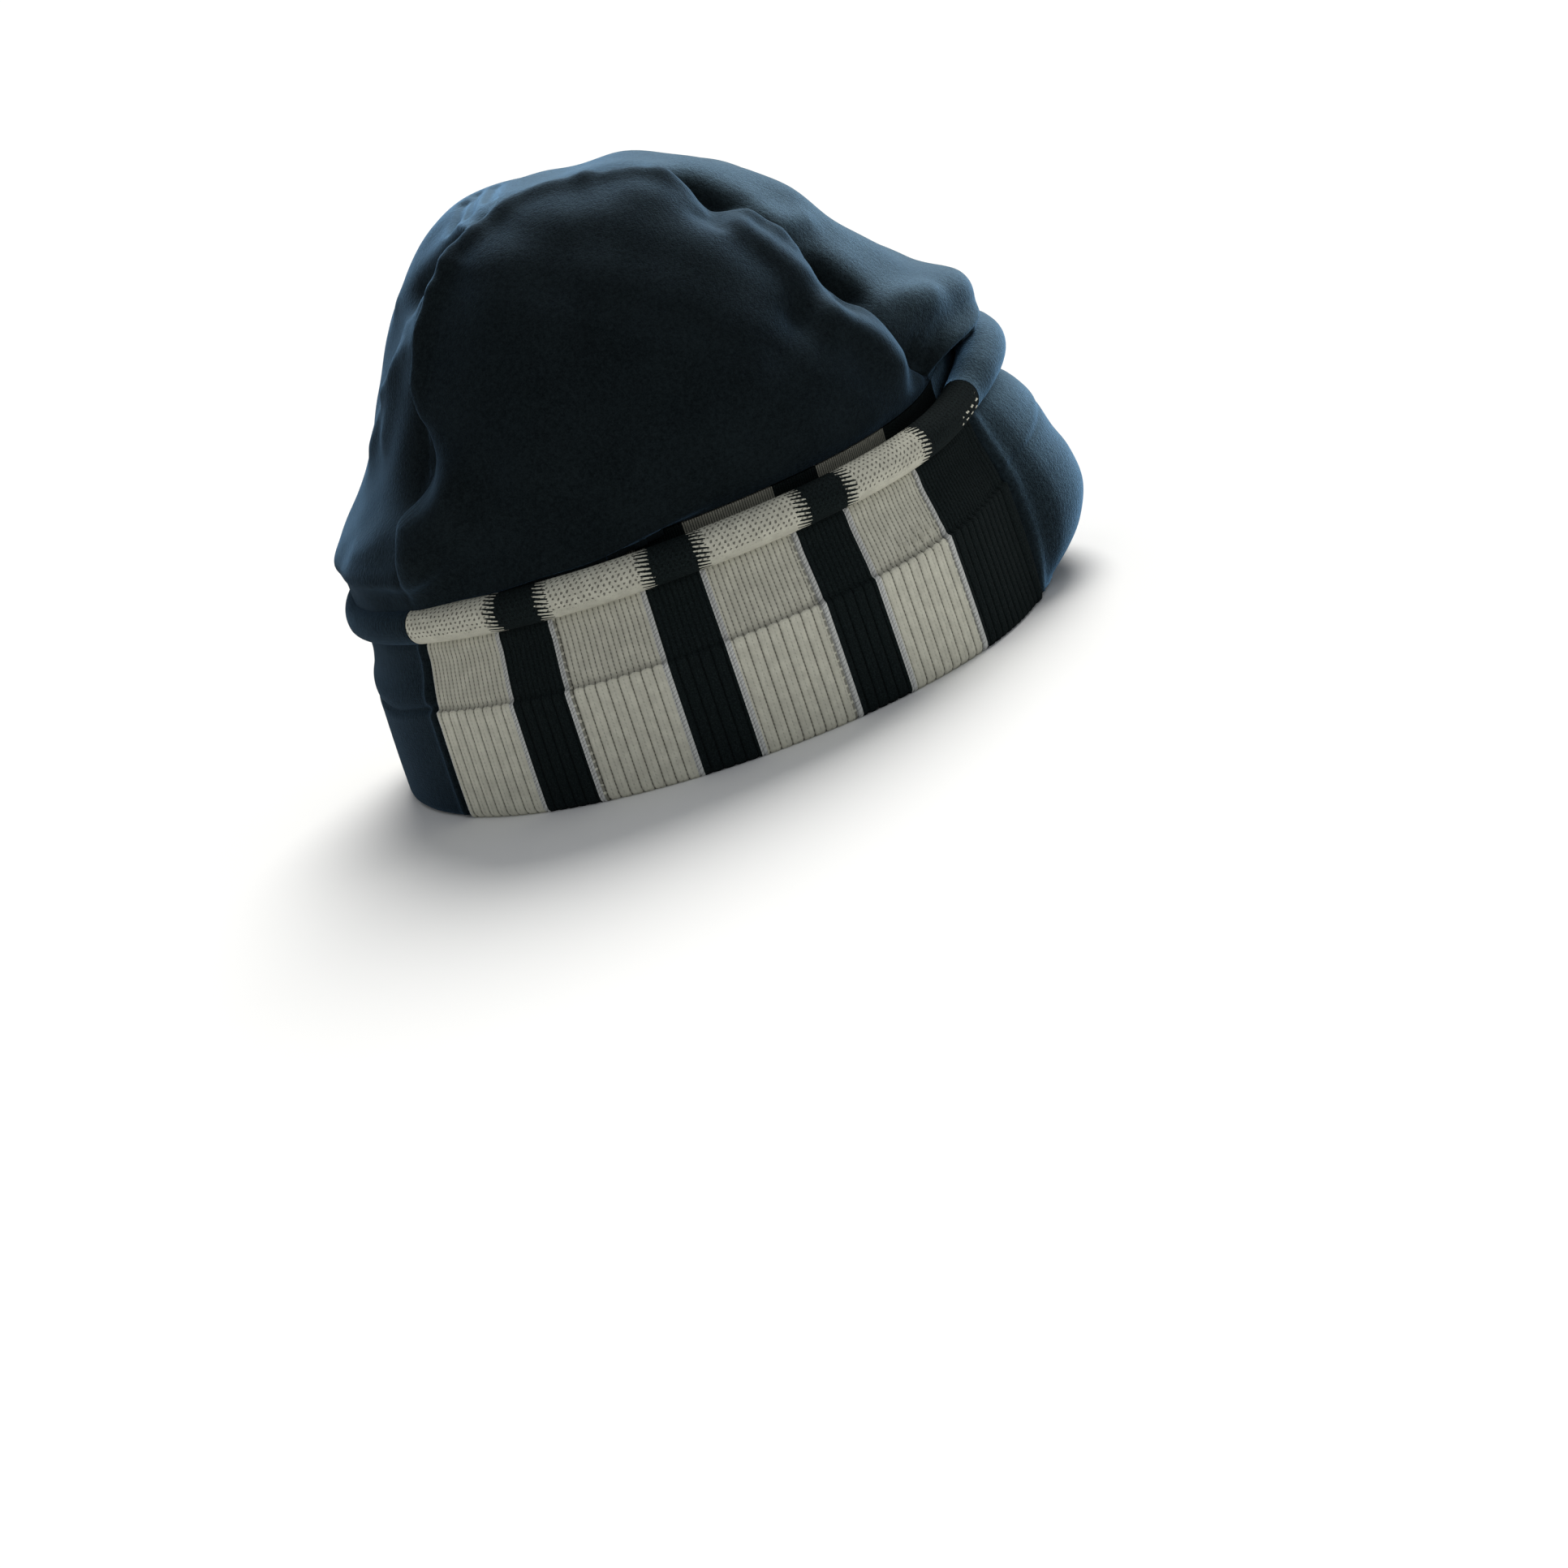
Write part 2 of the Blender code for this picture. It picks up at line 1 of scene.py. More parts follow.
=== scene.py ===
# %% [markdown]
# # A beanie with a turned-up, striped band
# This hat is sewn from seven pieces of soft cloth. Four cuff panels make the band: two striped rib
# knits at the sides and two plain fleece panels at the front and the back. Three fleece panels close
# the crown. The construction model already fixes every size, so this script only dresses it: each
# panel is made again on a much finer grid, with its knitting, folds and fibres, and then stands in
# for the plain panel.

# %% Load the frame
import math

import bmesh
import bpy
import numpy as np
from mathutils import Matrix, Vector


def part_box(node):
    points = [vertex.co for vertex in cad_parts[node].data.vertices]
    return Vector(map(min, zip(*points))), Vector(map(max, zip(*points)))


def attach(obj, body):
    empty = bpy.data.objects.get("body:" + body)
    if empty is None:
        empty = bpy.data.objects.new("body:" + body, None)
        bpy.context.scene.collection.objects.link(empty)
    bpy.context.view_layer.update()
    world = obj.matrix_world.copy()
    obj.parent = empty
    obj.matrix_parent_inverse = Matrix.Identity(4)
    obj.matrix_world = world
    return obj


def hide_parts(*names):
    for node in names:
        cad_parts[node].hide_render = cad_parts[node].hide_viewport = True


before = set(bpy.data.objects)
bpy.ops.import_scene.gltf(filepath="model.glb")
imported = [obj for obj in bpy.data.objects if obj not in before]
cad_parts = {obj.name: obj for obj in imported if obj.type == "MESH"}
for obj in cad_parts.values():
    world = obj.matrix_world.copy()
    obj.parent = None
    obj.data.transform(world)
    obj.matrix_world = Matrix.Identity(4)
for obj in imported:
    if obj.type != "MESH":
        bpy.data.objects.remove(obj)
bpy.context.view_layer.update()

# %% [markdown]
# ## The sizes of the hat
# A hat follows a head, so nearly everything here is measured from the oval of its rim. The values
# below are the ones that the construction model was cut to. Positions round the hat are given as
# lengths along that oval, starting at the front centre and growing towards the wearer's right.

# %% Sizes of the cloths and of the oval
RIM_HALF_LENGTH = 0.096
RIM_HALF_WIDTH = 0.086
FRONT_SEAM = 0.0398
BACK_PANEL_HALF = 0.0400
KNIT = 0.0018
LAYER_SPACE = 0.0010
FLEECE = 0.0020
MILLIMETRE = 0.001
SEAM_GAP = 0.00035
SEWN_GAP = 0.00010
ROLL_RADIUS = 0.0053
ROLL_HEIGHT = 0.0585
ROLL_SETBACK = 0.0056
NECK_PINCH = 0.0006
SEAM_ABOVE_ROLL = 0.0018
FRONT_RIM_OUT = 0.0040
FRONT_PUFF = 0.0155
FRONT_ROLL_OUT = 0.0086
FRONT_ROLL_LIFT = 0.0110
CROWN_RISE = 0.0905
CROWN_BASE = ROLL_HEIGHT + ROLL_RADIUS + SEAM_ABOVE_ROLL
ROLL_TURN = math.radians(272)
UP = np.array([0.0, 0.0, 1.0])

# %% Tables that bend the band round the head
# Columns: place from the front centre (0) to the back centre (1), then shares of FRONT_RIM_OUT,
# FRONT_PUFF, FRONT_ROLL_OUT, FRONT_ROLL_LIFT and ROLL_RADIUS.
BAND_SHAPE = np.array([
    (0, 1, 1, 1, 1, 1.4),
    (0.05, 0.92, 0.96, 0.92, 0.94, 1.36),
    (0.1, 0.55, 0.6, 0.52, 0.62, 1.18),
    (0.14, 0.06, 0.04, 0.06, 0.28, 1.02),
    (0.25, 0, 0, 0, 0.1, 1),
    (0.52, 0, 0, 0, 0, 1),
    (0.7, 0, 0, 0.02, -0.12, 1),
    (0.86, 0, 0, 0.06, -0.24, 1),
    (1, 0, 0, 0.13, -0.4, 1),
])
BAND_COLUMNS = {"rim_out": 1, "puff": 2, "roll_out": 3, "roll_lift": 4, "roll_size": 5}
# Columns: height from the rim (0) to the roll (1), share of the way in to the roll, share of the puff.
OUTER_SHAPE = np.array([
    (0, 0, 0),
    (0.09, 0, 0.46),
    (0.19, 0.01, 0.78),
    (0.34, 0.05, 1),
    (0.5, 0.11, 0.94),
    (0.63, 0.18, 0.76),
    (0.78, 0.56, 0.61),
    (0.9, 0.86, 0.41),
    (1, 1, 0),
])
INNER_ROWS = (1.00, 0.63, 0.20)


# %% [markdown]
# ## Smooth lines through a few points
# A tailor draws a curve through a handful of marks. `smooth` does the same: it takes the marks and
# their values, single numbers or whole points, and reads the curve anywhere between them. Blender's
# own curves could do it too, but here the same curve has to be read at thousands of places at once,
# which numpy does quickly.

# %% Smooth lines
def smooth(places, values, at):
    """Values of a smooth line through the given ones, read at other places."""
    places, values = np.asarray(places, float), np.asarray(values, float)
    flat = values.reshape(len(places), -1)
    at = np.clip(np.asarray(at, float), places[0], places[-1])
    start = np.clip(np.searchsorted(places, at, side="right") - 1, 0, len(places) - 2)
    order = np.arange(len(places))
    before, after = np.maximum(order - 1, 0), np.minimum(order + 1, len(places) - 1)
    slopes = (flat[after] - flat[before]) / (places[after] - places[before])[:, None]
    span = places[start + 1] - places[start]
    share = ((at - places[start]) / span)[..., None]
    span = span[..., None]
    result = (flat[start] * (2 * share ** 3 - 3 * share ** 2 + 1)
              + slopes[start] * span * (share ** 3 - 2 * share ** 2 + share)
              + flat[start + 1] * (3 * share ** 2 - 2 * share ** 3)
              + slopes[start + 1] * span * (share ** 3 - share ** 2))
    return result.reshape(at.shape + values.shape[1:])


def step(low, high, value):
    """0 below low, 1 above high and a soft slope between them."""
    share = np.clip((value - low) / (high - low), 0, 1)
    return share * share * (3 - 2 * share)


def read(table, column, at):
    """One column of a table, read smoothly at places in its first column."""
    return smooth(table[:, 0], table[:, column], at)


def bell(value):
    """1 at 0, and soft slopes down to 0 on both sides."""
    return np.exp(-value ** 2)


def unit(vectors):
    """The same directions with length 1."""
    return vectors / np.maximum(np.linalg.norm(vectors, axis=-1, keepdims=True), 1e-12)


# %% [markdown]
# ## Walking round the oval
# Seams and stripes sit at equal lengths of cloth, not at equal angles, so a length along the rim has
# to be turned into a point on the oval. A table of 720 short steps is more than fine enough.

# %% The rim
RIM_STEPS = 720
RIM_ANGLES = np.linspace(0, math.pi, RIM_STEPS + 1)
middles = (RIM_ANGLES[1:] + RIM_ANGLES[:-1]) / 2
speeds = np.hypot(RIM_HALF_WIDTH * np.cos(middles), RIM_HALF_LENGTH * np.sin(middles))
RIM_LENGTHS = np.concatenate([[0], np.cumsum(speeds) * math.pi / RIM_STEPS])
HALF_RIM = RIM_LENGTHS[-1]
BACK_SEAM = HALF_RIM - BACK_PANEL_HALF


def band(column, arcs):
    """One column of the band's table at lengths along the rim."""
    return read(BAND_SHAPE, BAND_COLUMNS[column], np.abs(arcs) / HALF_RIM)


def roll_at(arcs):
    """Middle of the roll, out from the oval and up, and its radius."""
    out = band("roll_out", arcs) * FRONT_ROLL_OUT - ROLL_SETBACK
    up = ROLL_HEIGHT + band("roll_lift", arcs) * FRONT_ROLL_LIFT
    return out, up, ROLL_RADIUS * band("roll_size", arcs)


back_out, _, back_radius = roll_at(np.array([HALF_RIM]))
OVAL_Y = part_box("cuff_back")[1].y - (RIM_HALF_LENGTH + back_out[0] + back_radius[0])


def angles_at(arcs):
    """Angles round the oval at lengths along the rim."""
    return np.sign(arcs) * np.interp(np.abs(arcs), RIM_LENGTHS, RIM_ANGLES)


def outward(arcs):
    """Level directions that point straight out of the rim."""
    angles = angles_at(arcs)
    return unit(np.stack([-np.sin(angles) / RIM_HALF_WIDTH, -np.cos(angles) / RIM_HALF_LENGTH,
                          np.zeros_like(angles)], -1))


def place_on_rim(arcs, out, up):
    """Points at lengths along the rim, a distance out from the oval and a height."""
    angles = angles_at(arcs)
    rim = np.stack([-RIM_HALF_WIDTH * np.sin(angles), OVAL_Y - RIM_HALF_LENGTH * np.cos(angles),
                    np.zeros_like(angles)], -1)
    return rim + outward(arcs) * np.asarray(out)[..., None] + np.asarray(up)[..., None] * UP


def band_top(arcs):
    """Top of the inner layer, where the crown is sewn on."""
    out, up, radius = roll_at(arcs)
    return out - radius - LAYER_SPACE - KNIT / 2, up + radius + SEAM_ABOVE_ROLL


print("half of the rim is", round(HALF_RIM, 4), "m long, its middle lies at y =", round(OVAL_Y, 4))


# %% [markdown]
# ## The path of a cuff's cloth
# Cut the band across and the cloth draws one line: down inside the hat, round the fold at the rim,
# up again outside, and over into a roll. `cloth_path` reads that line at any number of rows, for all
# columns at once. The rows are wide apart where nobody looks, and about 0.6 mm apart where the
# knitting shows.

# %% The cloth's path
def control_path(arcs):
    """The bends of the cuff's middle line, out from the oval and up, for each length along the rim."""
    roll_out, roll_up, roll_radius = roll_at(arcs)
    top_out, top_up = band_top(arcs)
    rim_out = band("rim_out", arcs) * FRONT_RIM_OUT
    bend = (KNIT + LAYER_SPACE) / 2
    fold_up = KNIT / 2 + bend
    neck_up = roll_up - roll_radius - LAYER_SPACE

    def wall(share):
        return rim_out + (roll_out + LAYER_SPACE / 2 - rim_out) * read(OUTER_SHAPE, 1, share)

    path = [(top_out, top_up), (top_out, roll_up)]
    for share in INNER_ROWS:
        path.append((wall(share) - KNIT * 1.5 - LAYER_SPACE, fold_up + (neck_up - fold_up) * share))
    for turn in np.linspace(math.pi, 2 * math.pi, 7):
        path.append((rim_out - KNIT / 2 - bend + bend * math.cos(turn), fold_up + bend * math.sin(turn)))
    for share, _, puff in OUTER_SHAPE[1:]:
        out = wall(share) + puff * band("puff", arcs) * FRONT_PUFF - KNIT / 2
        path.append((out, fold_up + (neck_up - fold_up) * share))
    curl = roll_radius - KNIT / 2
    path.append(((path[-1][0] + roll_out - curl) / 2 - NECK_PINCH, roll_up - curl / 2))
    for turn in np.linspace(math.pi, math.pi - ROLL_TURN, 12):
        path.append((roll_out + curl * math.cos(turn), roll_up + curl * math.sin(turn)))
    full = [np.stack([out + 0 * roll_up, up + 0 * roll_up], -1) for out, up in path]
    return np.stack(full, 1)


# Bends of the path, counted from its top: where the fold starts, turns and ends, and the roll's neck.
FOLD_START, FOLD_MIDDLE, FOLD_END, NECK = 5, 8, 11, 20
BENDS = NECK + 12
# Stretches of the path, each with its first and last bend and the spacing of its rows.
SPACINGS = ((0, FOLD_START, 0.0035), (FOLD_START, FOLD_END, 0.0006), (FOLD_END, NECK - 1, 0.00062),
            (NECK - 1, BENDS, 0.00055))
# Height of one course of stitches.
COURSE = 0.00108
PATH_STEPS = 4000
fine = np.linspace(0, BENDS, PATH_STEPS)
side_path = control_path(np.array([HALF_RIM / 2]))[0]
line = smooth(np.arange(BENDS + 1), side_path, fine)
lengths = np.concatenate([[0], np.cumsum(np.linalg.norm(np.diff(line, axis=0), axis=1))])


def length_at(bend):
    """Length of the cloth's path from its top to one of its bends."""
    return np.interp(bend, fine, lengths)


def row_places(spacings):
    """Places of the rows on the path, counted in bends, for a list of stretches and their spacing."""
    rows = []
    for start, end, spacing in spacings:
        count = max(round((length_at(end) - length_at(start)) / spacing), 1)
        rows.append(np.linspace(length_at(start), length_at(end), count, endpoint=False))
    rows.append([lengths[-1]])
    return np.interp(np.concatenate(rows), lengths, fine)


def cloth_path(arcs, rows):
    """Middle line and its outward side at each column and row, as out-and-up pairs."""
    controls = control_path(arcs)
    weights = smooth(np.arange(BENDS + 1), np.eye(BENDS + 1), rows)
    path = np.einsum("rb,cbk->crk", weights, controls)
    way = np.gradient(path, axis=1)
    return path, unit(np.stack([way[..., 1], -way[..., 0]], -1))


ROWS = row_places(SPACINGS)
COURSES = (np.interp(ROWS, fine, lengths) - length_at(FOLD_MIDDLE)) / COURSE
ROLL_COURSE = (length_at(NECK) - length_at(FOLD_MIDDLE)) / COURSE
RIB_HEIGHT = 0.0332
outer_rows = (ROWS > FOLD_END) & (ROWS < NECK - 1)
RIB_COURSE = np.interp(RIB_HEIGHT, smooth(np.arange(BENDS + 1), side_path, ROWS[outer_rows])[:, 1],
                       COURSES[outer_rows])
print(len(ROWS), "rows; ribs end at course", round(RIB_COURSE, 1), "and the roll starts at",
      round(ROLL_COURSE, 1))


# %% [markdown]
# ## Making a closed piece of cloth
# Every panel starts as Blender's grid primitive with one square for each little step of cloth. Its
# points are then moved to their places, which is what a sculptor's brush would do, but exact. For the
# cuffs the last row of the grid comes back to the first one, so the grid closes into a flat tube; the
# doubled row is merged and the two open ends are filled.

# %% Grids of cloth
# Added to the course count on the hidden face, so that a material can tell the two faces apart.
REVERSE_SIDE = 1000.0
SMOOTH_ANGLE = math.radians(60)
MERGE_DISTANCE = 0.000001


def cloth_grid(name, points, uvs):
    """A grid primitive whose corners are moved to the given points, columns by rows."""
    columns, rows = points.shape[0] - 1, points.shape[1] - 1
    bpy.ops.object.select_all(action="DESELECT")
    bpy.ops.mesh.primitive_grid_add(x_subdivisions=columns, y_subdivisions=rows, size=1)
    piece = bpy.context.object
    piece.name = piece.data.name = name
    piece.data.vertices.foreach_set("co", points.transpose(1, 0, 2).astype(np.float32).ravel())
    corners = np.empty(len(piece.data.loops), np.int32)
    piece.data.loops.foreach_get("vertex_index", corners)
    table = uvs.transpose(1, 0, 2).reshape(-1, 2)
    piece.data.uv_layers[0].data.foreach_set("uv", table[corners].astype(np.float32).ravel())
    piece.data.update()
    return piece


def signed_volume(piece):
    """The volume that a closed mesh holds, below 0 if it is inside out."""
    mesh = bmesh.new()
    mesh.from_mesh(piece.data)
    volume = mesh.calc_volume(signed=True)
    mesh.free()
    return volume


def close_tube(piece):
    """Merge the doubled row, fill the two ends and turn the faces outwards."""
    bpy.ops.object.mode_set(mode="EDIT")
    bpy.ops.mesh.select_all(action="SELECT")
    bpy.ops.mesh.remove_doubles(threshold=MERGE_DISTANCE)
    bpy.ops.mesh.select_all(action="DESELECT")
    bpy.ops.mesh.select_non_manifold()
    bpy.ops.mesh.fill_holes(sides=0)
    bpy.ops.object.mode_set(mode="OBJECT")
    face_outwards(piece)


def face_outwards(piece):
    """Turn the faces of a closed piece outwards, and shade it smooth."""
    if signed_volume(piece) < 0:
        piece.data.flip_normals()
    bpy.ops.object.select_all(action="DESELECT")
    piece.select_set(True)
    bpy.context.view_layer.objects.active = piece
    bpy.ops.object.shade_smooth_by_angle(angle=SMOOTH_ANGLE)


PIECES = []


def dress(piece, node, material):
    """Give a finished piece its material, and let it stand for its construction node."""
    piece.data.materials.append(material)
    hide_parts(node)
    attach(piece, "root")
    PIECES.append(piece)
    triangles = sum(len(face.vertices) - 2 for face in piece.data.polygons)
    print(piece.name, triangles, "triangles, volume", round(signed_volume(piece) * 1e6, 1), "cm3")


# %% [markdown]
# ## Building materials with few words
# A cloth's material is a graph of small sums. Typing out every node and link hides the idea, so two
# little classes let a formula be written as on paper. A `Value` is a number that the graph works
# out, and each sign between two of them adds one Math node. The `Graph` holds the other nodes.

# %% A helper for node graphs
def math_node(operation):
    """A method that adds a Math node."""
    return lambda *values: values[0].graph.math(operation, *values)


class Value:
    """A number or a colour that a graph works out."""

    def __init__(self, graph, socket):
        self.graph, self.socket = graph, socket

    def __rsub__(self, other):
        return self.graph.math("SUBTRACT", other, self)

    __add__ = __radd__ = math_node("ADD")
    __mul__ = __rmul__ = math_node("MULTIPLY")
    __sub__, __truediv__, __pow__ = map(math_node, ("SUBTRACT", "DIVIDE", "POWER"))
    __gt__, __lt__, __abs__ = map(math_node, ("GREATER_THAN", "LESS_THAN", "ABSOLUTE"))
    sine, cosine, fraction, floor = map(math_node, ("SINE", "COSINE", "FRACT", "FLOOR"))
    is_near = math_node("COMPARE")


class Graph:
    """The nodes of a material or a world, with short ways to add more."""

    def __init__(self, owner):
        owner.use_nodes = True
        self.owner, self.tree = owner, owner.node_tree

    def put(self, node, inputs):
        """Link inputs of a node to values, or set their numbers and colours."""
        for name, value in inputs.items():
            if isinstance(value, Value):
                self.tree.links.new(value.socket, node.inputs[name])
            else:
                node.inputs[name].default_value = value

    def add(self, kind, output, inputs, **settings):
        """A node with its inputs and settings; the result is one of its outputs."""
        node = self.tree.nodes.new(f"ShaderNode{kind}")
        for name, value in settings.items():
            setattr(node, name, value)
        self.put(node, inputs)
        return Value(self, node.outputs[output])

    def split(self, kind, value):
        """The outputs of a node that takes a colour or a place apart."""
        node = self.add(kind, 0, {0: value}).socket.node
        return [Value(self, socket) for socket in node.outputs[:3]]

    def math(self, operation, *values):
        """A Math node."""
        return self.add("Math", 0, dict(enumerate(values)), operation=operation)

    def ramp(self, value, low, high):
        """0 below low, 1 above high, smooth between them."""
        inputs = {"Value": value, "From Min": low, "From Max": high}
        return self.add("MapRange", "Result", inputs, interpolation_type="SMOOTHSTEP")

    def blend(self, factor, first, second):
        """A colour between two colours."""
        return self.add("Mix", 2, {0: factor, 6: first, 7: second}, data_type="RGBA")

    def shade(self, colour, strength):
        """A colour times a number."""
        return self.add("VectorMath", 0, {0: colour, "Scale": strength}, operation="SCALE")

    def noise(self, place, scale, detail=2.0, roughness=0.5):
        """Cloudy values round 0.5."""
        inputs = {"Vector": place, "Scale": scale, "Detail": detail, "Roughness": roughness}
        return self.add("TexNoise", 0, inputs)

    def coordinates(self):
        """The piece's own coordinates, and its UV map as two numbers."""
        across, up, _ = self.split("SeparateXYZ", self.add("TexCoord", "UV", {}))
        return self.add("TexCoord", "Object", {}), across, up

    def finish(self, colour, height, distance, strength, numbers):
        """Set the shader's colour, its relief from a height between 0 and 1, and its numbers."""
        inputs = {"Height": height, "Distance": distance, "Strength": strength}
        normal = self.add("Bump", "Normal", inputs)
        self.put(self.tree.nodes["Principled BSDF"], {"Base Color": colour, "Normal": normal, **numbers})
        return self.owner


# %% [markdown]
# ## The stripes of a side cuff
# The stripes are knitted in, so a stripe is always a whole number of stitch columns. From the front
# seam there is a wide navy one, then four cream ones with navy between them. Along both edges of a
# cream stripe runs one column of grey chain stitches, and on three edges a dotted line beside it.

# %% Stitch columns
# Width of each kind of stripe in metres, and its columns of stitches.
WIDE_NAVY, WIDE_NAVY_STITCHES = 0.0385, 24
CREAM_WIDTH, CREAM_STITCHES = 0.0296, 18
NAVY_WIDTH, NAVY_STITCHES = 0.0164, 10
CREAM_STRIPES = 4
# The edge of each cream stripe with a dotted line: 1 is the front one, -1 the back one, 0 is none.
DOTTED_EDGES = (1, 1, -1, 0)
# Columns of the mesh for each column of stitches.
NAVY_STEPS, CREAM_STEPS = 3, 4

stripes = [(WIDE_NAVY, WIDE_NAVY_STITCHES, NAVY_STEPS, False)]
for number in range(CREAM_STRIPES):
    stripes.append((CREAM_WIDTH, CREAM_STITCHES, CREAM_STEPS, True))
    if number + 1 < CREAM_STRIPES:
        stripes.append((NAVY_WIDTH, NAVY_STITCHES, NAVY_STEPS, False))
fit = (BACK_SEAM - FRONT_SEAM) / sum(stripe[0] for stripe in stripes)

SIDE_ARCS, SIDE_STITCHES, CREAM_STARTS = [FRONT_SEAM], [0.0], []
for width, stitches, steps, cream in stripes:
    if cream:
        CREAM_STARTS.append(SIDE_STITCHES[-1])
    start_arc, start_stitch = SIDE_ARCS[-1], SIDE_STITCHES[-1]
    for count in range(1, stitches * steps + 1):
        SIDE_ARCS.append(start_arc + width * fit * count / (stitches * steps))
        SIDE_STITCHES.append(start_stitch + count / steps)
SIDE_ARCS, SIDE_STITCHES = np.array(SIDE_ARCS), np.array(SIDE_STITCHES)
ALL_STITCHES = SIDE_STITCHES[-1]
print(len(SIDE_ARCS), "columns for", ALL_STITCHES, "stitches; cream stripes start at", CREAM_STARTS)


# %% [markdown]
# ## Relief of the knitting
# The lower part of the cuff is knitted in ribs, each two stitches wide, and the upper part in plain
# jersey, whose columns are finer and shallower. The ribs are thicker, so they end in a row of little
# rounded steps. Chain stitches stand up along the stripe edges. These forms are deep enough to catch
# light from the side, so they are real relief and not only a material.

# %% Knitted relief
RIB_STEP = 0.00060
RIB_GROOVE, RIB_GROOVE_HALF = 0.00034, 0.22
RIB_CROWN = 0.09
JERSEY_GROOVE = 0.00020
CHAIN_RIDGE, CHAIN_HALF = 0.00032, 0.55
DOTTED_GROOVE, DOTTED_PLACE, DOTTED_HALF = 0.00028, 1.1, 0.3
TUCK_DEPTH, TUCK_COURSES = 0.00070, 3.0
SCALLOP_COURSES, SCALLOP_ROUNDNESS = 0.7, 0.6
# Slanting gathers near the front seam, above the ribs.
GATHER_HEIGHT = 0.00045
GATHER_MIDDLE, GATHER_STITCHES = 30, 6
GATHER_RISE, GATHER_COURSES = 3.0, 3.5
GATHER_WAVE_STITCHES, GATHER_WAVE_COURSES = 1.9, 7
SEAM_RIDGE, SEAM_RIDGE_STITCH = 0.0007, 1.6
# The chain and the dotted line sink into the cloth over this many courses below the roll.
FADE_COURSES = 4


def stripe_masks(stitches):
    """Where a column is a chain column, and where the dotted line runs beside it."""
    chain, dotted = np.zeros_like(stitches), np.zeros_like(stitches)
    for start, dotted_edge in zip(CREAM_STARTS, DOTTED_EDGES):
        for edge, inwards in ((start, 1), (start + CREAM_STITCHES, -1)):
            inside = (stitches - edge) * inwards
            chain = np.maximum(chain, np.clip(1 - np.abs(inside - 0.5) / CHAIN_HALF, 0, 1) ** 0.5)
            if inwards == dotted_edge:
                line = np.clip(1 - np.abs(inside - DOTTED_PLACE) / DOTTED_HALF, 0, 1)
                dotted = np.maximum(dotted, line)
    return chain, dotted


def knit_relief(stitches, courses):
    """Height of the knitting above the cloth's plain face, columns by rows."""
    stitches, courses = stitches[:, None], courses[None, :]
    chain, dotted = stripe_masks(stitches)
    phase = (stitches - 1) / 2 % 1
    above = courses - RIB_COURSE
    arch = np.sin(math.pi * phase) ** SCALLOP_ROUNDNESS - 0.5
    ribs = step(0.5, -0.5, above - SCALLOP_COURSES * arch) * (courses > 0)
    groove = np.clip(1 - np.minimum(phase, 1 - phase) / RIB_GROOVE_HALF, 0, 1) ** 1.5
    column = np.abs(np.sin(math.pi * stitches)) ** 0.7
    tuck = np.where(above > 0, np.exp(-above / TUCK_COURSES), 0) * (1 - ribs)
    plain = (courses < ROLL_COURSE) * (courses > 0)
    rib_face = RIB_STEP * (1 + RIB_CROWN * np.sin(math.pi * phase))
    relief = ribs * (rib_face - RIB_GROOVE * groove * (1 - chain))
    relief = relief - (1 - ribs) * plain * JERSEY_GROOVE * (1 - column) - TUCK_DEPTH * tuck
    turns = stitches / GATHER_WAVE_STITCHES + courses / GATHER_WAVE_COURSES
    gather = np.sin(2 * math.pi * turns) * bell((stitches - GATHER_MIDDLE) / GATHER_STITCHES)
    relief = relief + GATHER_HEIGHT * gather * bell((above - GATHER_RISE) / GATHER_COURSES)
    relief = relief + SEAM_RIDGE * bell(stitches - SEAM_RIDGE_STITCH) * plain
    fade = step(ROLL_COURSE, ROLL_COURSE - FADE_COURSES, courses) * (courses > 0)
    return relief + fade * (CHAIN_RIDGE * chain - DOTTED_GROOVE * dotted)


# %% [markdown]
# ## The rib knit's finish
# Each stitch of jersey is a small V, so its height can be drawn from two numbers: how far across the
# column a point lies, and how far up its course, with the course line bent down towards the column's
# middle. On the roll the cloth curls over and shows its reverse, which is a brick pattern of short
# bars, and the colours change in ragged teeth. The UV map counts stitches and courses, so one
# formula fits the whole cuff. Where the knitting lies low its colour is painted darker, as shade in
# its grooves and holes.

# %% Colours and zones of the rib knit
CREAM = (0.655, 0.645, 0.54, 1)
CREAM_SHADE = (0.56, 0.55, 0.46, 1)
CHAIN_GREY = (0.62, 0.63, 0.61, 1)
# Grey of the chain where it lies low between its links: painted shade.
CHAIN_GREY_PAINTED_SHADE = (0.46, 0.47, 0.46, 1)
KNIT_NAVY = (0.0058, 0.0088, 0.0090, 1)
KNIT_NAVY_LIGHT = (0.0140, 0.0205, 0.0210, 1)
# Colour factors: the jersey is painted darker than the ribs, as shade; the roll is a little darker; the
# inner band behind the roll and the row just above the ribs get painted shade.
JERSEY_PAINTED_SHADE, ROLL_TONE, INNER_PAINTED_SHADE, TUCK_PAINTED_SHADE = 0.84, 0.86, 0.50, 0.72
DOTTED_STRENGTH = 0.55
# Cream stitches along the lower side of the roll, next to the front seam.
DASH_STITCHES, DASH_COURSE, DASH_HEIGHT = 9, 69.8, 2.0
# The roll's last courses, low on its outer side, are stretched smooth and show no holes.
ROLL_EDGE, ROLL_EDGE_FADE = 69.5, 2.5
CHAIN_END, DOTTED_END = 0.95, 1.19


